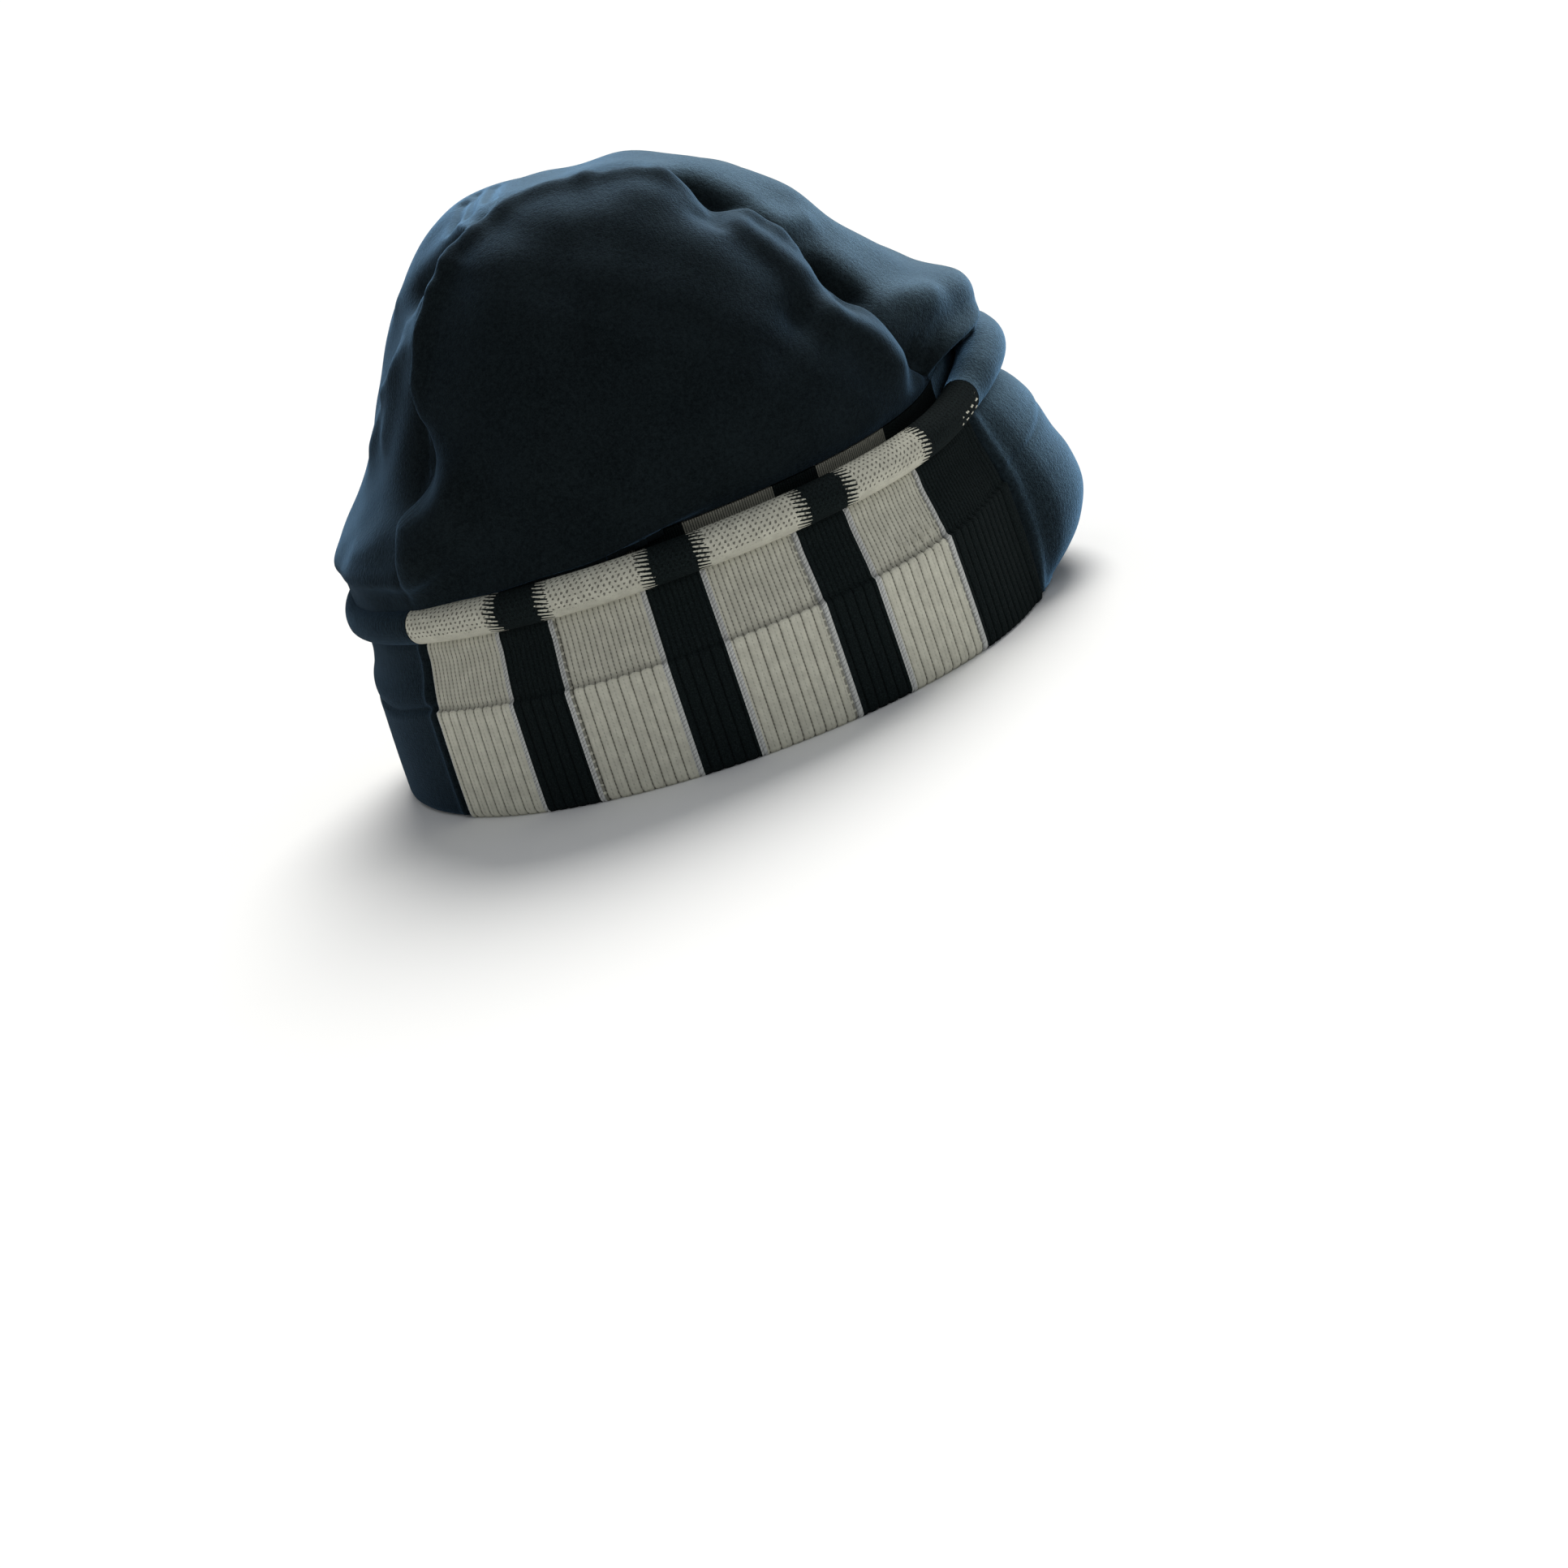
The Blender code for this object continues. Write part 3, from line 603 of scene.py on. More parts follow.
def stripe_ramp(graph, stitches):
    """Cream, chain and dotted line as the red, green and blue of a ramp over the count of stitches."""
    colours = graph.add("ValToRGB", 0, {0: stitches / ALL_STITCHES})
    ramp = colours.socket.node.color_ramp
    ramp.interpolation = "CONSTANT"
    marks = [(0, (0, 0, 0))]
    for start, dotted_edge in zip(CREAM_STARTS, DOTTED_EDGES):
        end = start + CREAM_STITCHES
        marks += [(start, (1, 1, 0)), (start + CHAIN_END, (1, 0, int(dotted_edge == 1))),
                  (start + DOTTED_END, (1, 0, 0)), (end - DOTTED_END, (1, 0, int(dotted_edge == -1))),
                  (end - CHAIN_END, (1, 1, 0)), (end, (0, 0, 0))]
    marks = [mark for mark in marks if mark[0] < ALL_STITCHES]
    while len(ramp.elements) < len(marks):
        ramp.elements.new(0.5)
    for element, (place, colour) in zip(ramp.elements, marks):
        element.position = place / ALL_STITCHES
        element.color = (*colour, 1)
    return graph.split("SeparateColor", colours)


# %% The rib knit
def cream_dashes(across, up, wander):
    """Where short slanted cream stitches lie under the roll, in two rows."""
    pair = (up + wander * 0.6) * 0.6
    low = (up + wander).is_near(DASH_COURSE, DASH_HEIGHT) * pair.fraction().is_near(0.5, 0.17)
    shifted = across * 0.38 + up * 0.40 + pair.floor() * 0.43
    return low * (shifted.fraction() > 0.58) * (across < DASH_STITCHES)


def rib_knit():
    """Material of the side cuffs."""
    g = Graph(bpy.data.materials.new("striped_rib_knit"))
    place, across, up = g.coordinates()
    reverse = up > REVERSE_SIDE / 2
    up = up - reverse * REVERSE_SIDE
    on_roll = (up > ROLL_COURSE - 3) * reverse
    inner = reverse - on_roll
    face = 1 - reverse
    rib = ((across - 1) * 0.5).fraction()
    arch = (rib * math.pi).sine() ** SCALLOP_ROUNDNESS
    over_ribs = up - (arch * SCALLOP_COURSES + (RIB_COURSE - 0.45))
    ribs = face * (over_ribs < 0)
    jersey = face - ribs

    # The stripes, with ragged edges on the roll.
    wander = g.noise(place, 900.0, 1.0) - 0.5
    teeth = g.ramp(((up + across * 0.3) * (2 * math.pi)).sine(), -0.9, 0.9)
    is_cream, is_chain, is_dotted = stripe_ramp(g, across + (teeth * 2.4 + wander * 1.6) * on_roll)
    chain = is_chain * face
    dotted = is_dotted * face * (((up + wander) * 0.45).fraction() > 0.24)

    # Stitches of the jersey, the ribs and the chain.
    leg = abs(across.fraction() * 2 - 1)
    stitch = ((up - leg * 0.9).fraction() * math.pi).sine()
    hole = abs((up * math.pi).cosine()) ** 2
    groove = leg ** 4
    stitches = (1 - groove * (hole * 0.50 + 0.55)) * (stitch * 0.16 + 0.84)
    flat = 0.80 - groove * (hole * 0.30 + 0.10) + stitch * 0.10 - abs(rib * 2 - 1) ** 8 * 0.50
    link = abs(((up + across.fraction() * 0.9) * math.pi).sine()) ** 0.5
    rope = (link * 0.65 + 0.35) * (1 - leg ** 6 * 0.5)

    # Holes of the reverse on the roll, and plain legs on the inside.
    holes = ((across - up * 0.25) * (2 * math.pi)).cosine() * ((up + wander) * math.pi).cosine() ** 3
    bars = g.ramp(holes * g.ramp(up, ROLL_EDGE + ROLL_EDGE_FADE, ROLL_EDGE), 0.85, 0.15)
    legs = abs((across * (2 * math.pi)).sine())
    height = stitches * jersey + flat * ribs + bars * on_roll + legs * inner
    height = height + chain * (rope - height)
    fuzz = g.noise(place, 2600.0, 3.0, 0.6)

    cream = g.blend(g.ramp(g.noise(place, 300.0, 2.0), 0.30, 0.75), CREAM_SHADE, CREAM)
    # The chain's grey is painted darker between its links, as shade.
    grey = g.blend(g.ramp(rope, 0.1, 0.8), CHAIN_GREY_PAINTED_SHADE, CHAIN_GREY)
    navy = g.blend(g.ramp(fuzz, 0.42, 0.72), KNIT_NAVY, KNIT_NAVY_LIGHT)
    # The cream and the grey are painted darker where the knitting lies low: painted shade in its grooves,
    # holes and between chain links.
    tone = g.ramp(height, 0.05, 0.72) * 0.62 + 0.38
    # The jersey, the inner band and the row above the ribs are darkened as painted shade; the roll is a
    # tone darker.
    tuck = jersey * g.ramp(over_ribs, 2.4, 0.2)
    for where, strength in ((jersey, JERSEY_PAINTED_SHADE), (on_roll, ROLL_TONE), (inner, INNER_PAINTED_SHADE),
                            (tuck, TUCK_PAINTED_SHADE)):
        tone = tone * (1 - where * (1 - strength))
    colour = g.blend(is_cream, navy, g.shade(g.blend(chain, cream, grey), tone))
    colour = g.blend(dotted * DOTTED_STRENGTH, colour, KNIT_NAVY)
    colour = g.blend(cream_dashes(across, up, wander) * on_roll, colour, CREAM)
    numbers = {"Roughness": 0.92, "Specular IOR Level": 0.05}
    return g.finish(colour, height + fuzz * 0.30, 0.00050, 1.0, numbers)


# %% [markdown]
# ## The side cuffs
# One function makes a cuff from its columns. On the outer layer the shown face runs along all rows,
# and the hidden one needs only every seventh. The roll turns the hidden face outwards, so there that
# face has all rows and the other one a third of them. This halves the cost of the mesh.

# %% Cuff panels
# Of a face that is hidden, or curled away inside the roll, one in so many rows is kept.
HIDDEN_EVERY, CURLED_EVERY = 7, 3
ROLL_ROW = int(np.searchsorted(ROWS, NECK - 1))
OUTER_ROW = int(np.searchsorted(ROWS, FOLD_END))
LAST_ROW = len(ROWS) - 1
SHOWN_ROWS = np.unique(np.r_[0:ROLL_ROW, ROLL_ROW:LAST_ROW:CURLED_EVERY, LAST_ROW])
HIDDEN_ROWS = np.unique(np.r_[0:OUTER_ROW, OUTER_ROW:ROLL_ROW:HIDDEN_EVERY, ROLL_ROW:LAST_ROW + 1])[::-1]


def wrap(arcs):
    """Lengths beyond the back centre, counted again from the other side."""
    return np.where(arcs > HALF_RIM, arcs - 2 * HALF_RIM, arcs)


def set_back(arcs):
    """The same columns, with the two ends half a gap away from their seams."""
    arcs = arcs.copy()
    arcs[0] += SEAM_GAP / 2
    arcs[-1] -= SEAM_GAP / 2
    return arcs


def cuff(name, arcs, across, relief, course=1.0):
    """A closed cuff panel with relief on its shown face; across and course set its UV map."""
    path, side = cloth_path(arcs, ROWS)
    shown = path + side * (KNIT / 2 + relief)[..., None]
    hidden = path - side * (KNIT / 2)
    section = np.concatenate([shown[:, SHOWN_ROWS], hidden[:, HIDDEN_ROWS], shown[:, :1]], 1)
    section[..., 1] = np.maximum(section[..., 1], 0)
    points = place_on_rim(np.repeat(arcs[:, None], section.shape[1], 1), section[..., 0], section[..., 1])
    up = np.concatenate([COURSES[SHOWN_ROWS], COURSES[HIDDEN_ROWS] + REVERSE_SIDE, COURSES[:1]]) * course
    piece = cloth_grid(name, points, np.stack(np.broadcast_arrays(across[:, None], up[None, :]), -1))
    close_tube(piece)
    return piece


knit = rib_knit()
relief = knit_relief(SIDE_STITCHES, COURSES)
for word, way in (("right", 1), ("left", -1)):
    node = f"cuff_side_{word}"
    piece = cuff(f"{node}_knit", way * set_back(SIDE_ARCS), SIDE_STITCHES, relief)
    dress(piece, node, knit)

# %% [markdown]
# ## The fleece
# Fleece is a knit whose face has been brushed until its loops stand up as a short fuzz. It takes
# almost no light from the front and glows blue where one looks along it, which is what the sheen of
# the shader is for. Very fine noise breaks up the surface, and a faint lattice of stitches shows
# through where the nap is thin.

# %% Fleece materials
# Spacing of the stitches that show faintly through the nap, in metres.
FLEECE_COLUMN, FLEECE_ROW = 0.0011, 0.0009
SHEEN_TINT = (0.33, 0.63, 1.0, 1)


def fleece(name, dark, light, sheen, nap):
    """Brushed navy cloth; nap is how much the fuzz hides the stitches."""
    g = Graph(bpy.data.materials.new(name))
    place, across, up = g.coordinates()
    fine_fuzz = g.noise(place, 2400.0, 3.0, 0.65)
    tufts = g.noise(place, 800.0, 3.0, 0.6)
    clouds = g.noise(place, 55.0, 3.0, 0.55)
    brushed = g.add("CombineXYZ", 0, {0: across * 0.5, 1: up})
    fibres = g.noise(brushed, 2300.0, 2.0, 0.6)
    columns = abs((across * (math.pi / FLEECE_COLUMN)).sine())
    rows = abs((up * (math.pi / FLEECE_ROW)).sine())
    grain = fine_fuzz * 0.7 + fibres * 0.3
    tone = grain * 0.55 + tufts * 0.30 + clouds * 0.15
    height = grain + tufts * 0.80 + columns * rows * (1 - nap)
    numbers = {"Roughness": 0.95, "Specular IOR Level": 0.03, "Sheen Weight": sheen,
               "Sheen Roughness": 0.40, "Sheen Tint": SHEEN_TINT}
    return g.finish(g.blend(g.ramp(tone, 0.36, 0.64), dark, light), height, 0.00030, 0.8, numbers)


CROWN_FLEECE = fleece("crown_fleece", (0.0028, 0.0042, 0.0047, 1), (0.0100, 0.0148, 0.0164, 1), 0.18, 0.92)
PANEL_FLEECE = fleece("panel_fleece", (0.0028, 0.0046, 0.0054, 1), (0.0112, 0.0176, 0.0208, 1), 0.20, 0.86)

# %% [markdown]
# ## The front and back cuffs
# They run along the same path as the knit. The front one is padded out by a fold of cloth under it,
# and both are drawn in a little at their seams.

# %% Front and back cuffs
END_STEP = 0.0009
# Along their two seams these cuffs have a ridge and an edge that sinks in: height, place and width.
END_RIDGE, END_RIDGE_PLACE, END_RIDGE_WIDTH = 0.0008, 0.0026, 0.0014
END_SINK, END_SINK_WIDTH = 0.0009, 0.0012
# A crease with a ridge above it: the ridge's height, place and width, and the crease's depth and width.
FRONT_CREASE = (0.0003, 2, 1.5, 0.0004, 0.7)
BACK_CREASE = (0.0007, 4, 3, 0.0014, 1.1)
# The front one slants down from the middle to both sides, and the back one sways a little.
SLANT_PLACE, SLANT = 9, 180
SWAY, SWAY_TURN = 0.8, 120


def end_arcs(start, end):
    """Even columns between two seams, set back from both by half a gap."""
    count = round((end - start) / END_STEP)
    return np.linspace(start + SEAM_GAP / 2, end - SEAM_GAP / 2, count + 1)


def end_relief(arcs, courses):
    """Relief of a plain cuff along its two seams."""
    near = np.minimum(arcs - arcs[0], arcs[-1] - arcs)[:, None]
    ridge = END_RIDGE * bell((near - END_RIDGE_PLACE) / END_RIDGE_WIDTH)
    return (courses > 1)[None, :] * (ridge - END_SINK * bell(near / END_SINK_WIDTH))


def crease(courses, place, ridge, ridge_place, ridge_width, depth, width):
    """Relief of a crease that lies in each column so many courses above the end of the ribs."""
    above = (courses - RIB_COURSE)[None, :] - place[:, None]
    return ridge * bell((above - ridge_place) / ridge_width) - depth * bell(above / width)


front_arcs = end_arcs(-FRONT_SEAM, FRONT_SEAM)
back_arcs = end_arcs(BACK_SEAM, 2 * HALF_RIM - BACK_SEAM)
for node, arcs, place, shape in (
        ("cuff_front", front_arcs, SLANT_PLACE - SLANT * np.abs(front_arcs), FRONT_CREASE),
        ("cuff_back", back_arcs, -SWAY * np.sin(back_arcs * SWAY_TURN), BACK_CREASE)):
    relief = end_relief(arcs, COURSES) + crease(COURSES, place, *shape)
    dress(cuff(f"{node}_cloth", wrap(arcs), arcs, relief, COURSE), node, PANEL_FLEECE)

# %% [markdown]
# ## The seams of the crown
# Two seams run from the front over the top to the back, and the strip lies between them. The table
# gives a seam and the strip's middle line at seventeen places.

# %% Crown lines
# Columns: forward, height, side, forward and height of the strip's middle, drop of the left seam.
CROWN_LINES = np.array([
    (0.724, 0.13, 0.43, 1.045, 0.176, 0),
    (0.656, 0.27, 0.47, 1.036, 0.258, 0),
    (0.583, 0.391, 0.46, 0.906, 0.347, 0.01),
    (0.5, 0.546, 0.419, 0.755, 0.518, 0.02),
    (0.417, 0.701, 0.378, 0.615, 0.706, 0.04),
    (0.302, 0.822, 0.349, 0.448, 0.85, 0.05),
    (0.146, 0.949, 0.33, 0.229, 0.955, 0.06),
    (-0.042, 0.988, 0.32, 0, 0.977, 0.06),
    (-0.208, 0.988, 0.32, -0.203, 0.999, 0.06),
    (-0.354, 0.944, 0.33, -0.335, 0.968, 0.06),
    (-0.51, 0.828, 0.36, -0.495, 0.833, 0.06),
    (-0.625, 0.668, 0.407, -0.6, 0.648, 0.05),
    (-0.661, 0.513, 0.43, -0.69, 0.493, 0.04),
    (-0.698, 0.358, 0.453, -0.77, 0.338, 0.03),
    (-0.755, 0.226, 0.47, -0.85, 0.215, 0.02),
    (-0.835, 0.103, 0.47, -0.945, 0.103, 0.01),
    (-0.868, 0.03, 0.46, -0.982, 0.025, 0),
])
# The finer run of the seams, in millimetres. Columns: place along a seam, shift of the right and of the
# left seam towards the strip, height of the side panel's lip, depth of the pocket in the strip, and depth
# of a valley in both panels.
SEAM_FINISH = np.array([
    (0, 0, 0, 0.4, 0.5, 0),
    (0.035, -0.5, -0.5, 0.8, 2.2, 0.5),
    (0.09, -1.5, -1, 1.4, 0, 0),
    (0.125, 0.6, 0.4, 2.6, 0.8, 0),
    (0.15, -0.9, -0.5, 2, 2.6, 0.6),
    (0.172, -1.6, -1, 0.8, 2.9, 1.4),
    (0.195, -1.3, -0.7, 1, 2.7, 1),
    (0.23, 0.6, 0.6, 2.2, 1.4, 0),
    (0.275, 1.2, 0.8, 2, 1.2, 0),
    (0.302, -0.8, -0.6, 0.8, 4.6, 0.5),
    (0.335, 1.8, 0.4, 2, 4.8, 0.2),
    (0.4, 2.2, 0.8, 1.6, 0.8, 0),
    (0.48, 3.4, 1, 1.4, 2, 0),
    (0.52, 3.4, 0.8, 1.6, 2, 0),
    (0.576, 0.6, 0, 1.4, 0.8, 0),
    (0.603, 2.2, 0.6, 2, 4.4, 0),
    (0.64, 0.8, 0.4, 2, 4, 0),
    (0.7, 0.4, 0.2, 1.6, 2.4, 0.2),
    (0.75, -0.2, -0.2, 1.4, 1.6, 1.6),
    (0.82, 0, 0, 1, 1.6, 3),
    (0.865, 0, 0, 0, 0.4, 1.8),
    (0.895, 0, 0, 0, 0, -1),
    (0.94, 0, 0, 0, 0, -0.8),
    (1, 0, 0, 0, 0, 0),
])
# How much the left seam is tucked in for its drop, and the rows where the side panels' ends meet a seam.
LEFT_TUCK = 1.5
SIDE_EDGE_ROWS = (3, 14)
SEAM_STEP = 0.005
STRIP_FULLNESS = 2.5
# The share of a panel that is pulled along with its end columns.
EASE = 0.27
STRIP_EASE = 0.54
# Columns: place along a side panel, then how its cloth leaves the foot and the seam, out and up or
# down, as shares of CROWN_RISE.
PANEL_SHAPE = np.array([
    (0, 0.05, 0.09, 0.02, 0.04),
    (0.15, 0.1, 0.16, 0.16, 0.06),
    (0.5, 0.14, 0.16, 0.37, 0.07),
    (0.8, 0.16, 0.14, 0.14, 0.12),
    (1, 0.12, 0.08, 0.02, 0.08),
])
# How the crown sags over the roll. Columns: place from the front centre (0) to the back centre (1), then
# in millimetres how far out, how far down, and how far up the cloth that happens.
SAG = np.array([
    (0, 2, 0.4, 5),
    (0.07, 5, 1.2, 5.5),
    (0.11, 4.5, 1.2, 5),
    (0.15, 1, 0.5, 4),
    (0.25, 0.4, 0.3, 4),
    (0.5, 0.4, 0.3, 4),
    (0.62, 2.8, 4, 4.5),
    (1, 3.4, 5.5, 4.5),
])
SAG_START, SAG_WIDTH = 0.0015, 0.7
HAT_MIDDLE = np.array([0, OVAL_Y, CROWN_BASE])


def foot(arcs):
    """Corners of a crown panel's lower edge, just above the band."""
    out, up = band_top(arcs)
    return place_on_rim(arcs, out + FLEECE / 2, up + SEAM_GAP)


def distances(grid, axis):
    """Length of cloth from the start of each column (axis 1) or each row (axis 0)."""
    steps = np.linalg.norm(np.diff(grid, axis=axis), axis=-1)
    return np.insert(np.cumsum(steps, axis), 0, 0, axis)


def sag(arcs, above):
    """Shift of the crown's cloth that stands at lengths along the rim, at distances up from its foot."""
    place = np.abs(wrap(arcs)) / HALF_RIM
    out, down, middle = (read(SAG, column, place)[:, None, None] * MILLIMETRE for column in (1, 2, 3))
    above = above[..., None]
    weight = bell((above - middle) / (SAG_WIDTH * middle)) * (1 - bell(above / SAG_START))
    return weight * (outward(arcs)[:, None] * out - UP * down)


def crown_points(side, forward, height):
    """Points of the crown, from shares of the hat's half width, half length and rise."""
    return np.stack([side * RIM_HALF_WIDTH, OVAL_Y - forward * RIM_HALF_LENGTH,
                     CROWN_BASE + height * CROWN_RISE], -1)


class Seam:
    """One crown seam; side is -1 for the wearer's right and 1 for the left."""

    def __init__(self, side):
        self.side = side
        forward, height, wide, middle_forward, middle_height, left_drop = CROWN_LINES.T
        drop = left_drop * (side > 0)
        seam = crown_points(side * wide, forward * (1 - LEFT_TUCK * drop), height - drop)
        middle = crown_points(0 * forward, middle_forward, middle_height)
        ends = foot(np.array([-side * FRONT_SEAM, -side * BACK_SEAM]))
        middle_ends = foot(np.array([0.0, HALF_RIM]))
        self.points = np.concatenate([ends[:1], seam, ends[1:]])
        self.middle = np.concatenate([middle_ends[:1], middle, middle_ends[1:]])
        steps = np.linalg.norm(np.diff(self.points, axis=0), axis=1)
        self.length = steps.sum()
        self.places = np.concatenate([[0], np.cumsum(steps)]) / self.length
        self.front, self.back = (self.places[row] for row in SIDE_EDGE_ROWS)

    def line(self, places):
        """The seam without its waves."""
        return smooth(self.places, self.points, places)

    def at(self, places):
        """The seam with its waves."""
        wave = read(SEAM_FINISH, 1 if self.side < 0 else 2, places) * MILLIMETRE
        return self.line(places) + self.directions(places)[2] * wave[..., None]

    def middle_at(self, places):
        """The strip's middle line."""
        return smooth(self.places, self.middle, places)

    def top_places(self, arcs):
        """Places on the seam where the panel's columns end."""
        share = (arcs - SIDE_ARCS[0]) / (SIDE_ARCS[-1] - SIDE_ARCS[0])
        return self.front + (self.back - self.front) * share

    def directions(self, places):
        """Directions at the seam: along it, into the hat, and from the side panel to the strip."""
        after, before = np.minimum(places + SEAM_STEP, 1), np.maximum(places - SEAM_STEP, 0)
        along = unit(self.line(after) - self.line(before))
        inside = HAT_MIDDLE - self.line(places)
        inside = unit(inside - along * (inside * along).sum(-1, keepdims=True))
        across = unit(np.cross(along, inside))
        across = across * np.where(across[..., :1] * -self.side < 0, -1, 1)
        return along, inside, across

    def edge(self, places, towards_strip):
        """A panel's edge beside the seam, half a gap away from it."""
        across = self.directions(places)[2]
        return self.at(places) + across * (SEWN_GAP / 2 if towards_strip else -SEWN_GAP / 2)


SEAMS = {"right": Seam(-1), "left": Seam(1)}


# %% [markdown]
# ## The crown panels
# A side panel is a fan of curves from the band up to its seam, and its two upright ends are pulled
# onto the seam's ends. The strip is a row of arches between the two seams.

# %% Plain crown panels
PANEL_COLUMNS, PANEL_ROWS = 230, 130
STRIP_COLUMNS, STRIP_ROWS = 330, 76


def ease(grid, axis_share, targets, from_start):
    """Move one end column onto its targets, and its neighbours by less and less."""
    column = 0 if from_start else -1
    shift = targets - grid[column]
    weight = np.maximum(0, 1 - axis_share) ** 2
    weights = np.repeat(weight[:, None], grid.shape[1], 1)
    # The panel's long edges stay on the band and on their seams.
    weights[1:-1, 0] = weights[1:-1, -1] = 0
    grid += weights[..., None] * shift[None]


def side_panel_grid(word):
    """Points of a side panel's outer face, columns from front to back and rows from the band up."""
    seam = SEAMS[word]
    arcs = set_back(np.linspace(SIDE_ARCS[0], SIDE_ARCS[-1], PANEL_COLUMNS + 1))
    share = (arcs - FRONT_SEAM) / (BACK_SEAM - FRONT_SEAM)
    around = -seam.side * arcs
    shape = smooth(PANEL_SHAPE[:, 0], PANEL_SHAPE[:, 1:], share) * CROWN_RISE
    way_out = outward(around)
    low, high = foot(around), seam.edge(seam.top_places(arcs), False)
    low_handle = low + way_out * shape[:, :1] + UP * shape[:, 1:2]
    high_handle = high + way_out * shape[:, 2:3] - UP * shape[:, 3:4]
    rise = np.linspace(0, 1, PANEL_ROWS + 1)[None, :, None]
    rest = 1 - rise
    grid = (low[:, None] * rest ** 3 + low_handle[:, None] * 3 * rise * rest ** 2
            + high_handle[:, None] * 3 * rise ** 2 * rest + high[:, None] * rise ** 3)
    for start, end, from_start in ((0, seam.front, True), (1, seam.back, False)):
        targets = seam.edge(start + (end - start) * rise[0, :, 0], False)
        targets[0] = grid[0 if from_start else -1, 0]
        away = share if from_start else 1 - share
        ease(grid, away / EASE, targets, from_start)
    return grid + sag(around, distances(grid, 1))


def strip_grid():
    """Points of the strip's outer face, columns from front to back and rows from right to left."""
    right, left = SEAMS["right"], SEAMS["left"]
    sizes = [right.front, right.back - right.front, 1 - right.back]
    place = np.linspace(0, 1, STRIP_COLUMNS + 1)

    def on(seam):
        marks = [0, sizes[0], sizes[0] + sizes[1], 1]
        return np.interp(place, marks, [0, seam.front, seam.back, 1])

    edges = [right.edge(on(right), True), left.edge(on(left), True)]
    middle = right.middle_at(on(right))
    across = np.linspace(-1, 1, STRIP_ROWS + 1)
    bulge = 1 - np.abs(across) ** STRIP_FULLNESS
    grid = np.empty((len(place), len(across), 3))
    for row, (share, lift) in enumerate(zip(across, bulge)):
        edge = edges[0] if share < 0 else edges[1]
        level = edge + (middle - edge) * lift
        grid[:, row] = np.stack([edge[:, 0] * abs(share), level[:, 1], level[:, 2]], -1)
    half = across * (FRONT_SEAM - SEAM_GAP / 2)
    ease(grid, place / (sizes[0] * STRIP_EASE), foot(-half), True)
    back = np.linspace(BACK_SEAM + SEAM_GAP / 2, 2 * HALF_RIM - BACK_SEAM - SEAM_GAP / 2, len(across))
    ease(grid, (1 - place) / (sizes[2] * STRIP_EASE), foot(wrap(back)), False)
    far = distances(grid, 0)
    front_sag, back_sag = sag(-half, far.T), sag(wrap(back), (far[-1] - far).T)
    return grid + (front_sag + back_sag).transpose(1, 0, 2)


# %% [markdown]
# ## Folds and puckers
# Cloth that has room to spare lies in folds. Each fold here is a line on a panel with a width and a
# height; near the line the panel is pushed out or in along its own normal. Beside a seam the side
# panel stands up in a lip and the strip dips into pockets, and both pucker. Right at the seam the two
# panels share one outward direction, so their walls meet and don't cross.

# %% Folds
# For each panel: start (along, up), end (along, up), width and height as shares of CROWN_RISE.
FOLDS = {
    "crown_side_right": (
        (0.05, 0.93, 0.13, 0.6, 0.08, -0.035), (0.27, 0.95, 0.31, 0.8, 0.07, -0.03),
        (0.94, 0.3, 0.84, 0.42, 0.08, 0.035), (0.9, 0.78, 0.88, 0.55, 0.07, -0.03),
        (0.62, 0.8, 0.7, 0.35, 0.12, 0.02), (0.35, 0.97, 0.3, 0.85, 0.045, 0.012),
        (0.27, 0.77, 0.2, 0.58, 0.06, 0.02), (0.19, 0.48, 0.11, 0.28, 0.075, 0.038),
        (0.21, 0.55, 0.27, 0.47, 0.06, -0.022), (0.27, 0.47, 0.33, 0.39, 0.07, -0.01),
        (0.27, 0.87, 0.3, 0.75, 0.035, -0.014), (0.99, 0.35, 0.97, 0.58, 0.08, 0.022),
        (0.97, 0.58, 0.82, 0.47, 0.08, 0.018), (0.94, 0.71, 0.8, 0.58, 0.09, -0.015),
        (0.4, 0.85, 0.5, 0.8, 0.08, 0.01),
    ),
    "crown_side_left": (
        (0.12, 0.95, 0.2, 0.6, 0.08, -0.035), (0.42, 0.9, 0.4, 0.5, 0.12, 0.025),
        (0.72, 0.92, 0.68, 0.6, 0.09, -0.03), (0.15, 0.6, 0.25, 0.5, 0.06, 0.018),
        (0.75, 0.45, 0.85, 0.6, 0.08, 0.016), (0.55, 0.3, 0.7, 0.35, 0.1, -0.012),
    ),
    "crown_strip": (
        (0.145, 0.03, 0.185, 0.03, 0.06, -0.045), (0.3, 0.04, 0.335, 0.04, 0.065, -0.03),
        (0.41, 0.12, 0.45, 0.14, 0.06, -0.025), (0.62, 0.1, 0.66, 0.28, 0.07, -0.045),
        (0.7, 0.26, 0.8, 0.38, 0.07, 0.02), (0.34, 0.88, 0.42, 0.8, 0.08, -0.035),
        (0.58, 0.86, 0.66, 0.78, 0.08, -0.03), (0.25, 0.05, 0.24, 0.14, 0.06, 0.02),
        (0.12, 0.05, 0.11, 0.16, 0.06, 0.02), (0.15, 0.45, 0.1, 0.32, 0.12, 0.012),
        (0.3, 0.35, 0.22, 0.28, 0.08, 0.01), (0.72, 0.2, 0.765, 0.45, 0.05, 0.018),
        (0.765, 0.45, 0.82, 0.6, 0.05, 0.014), (0.895, 0.05, 0.925, 0.35, 0.06, 0.006),
        (0.56, 0.51, 0.59, 0.26, 0.025, -0.016), (0.54, 0.57, 0.57, 0.2, 0.022, -0.013),
        (0.52, 0.5, 0.54, 0.2, 0.022, -0.01), (0.25, 0.8, 0.32, 0.92, 0.05, 0.018),
        (0.6, 0.8, 0.68, 0.7, 0.06, 0.016),
    ),
}
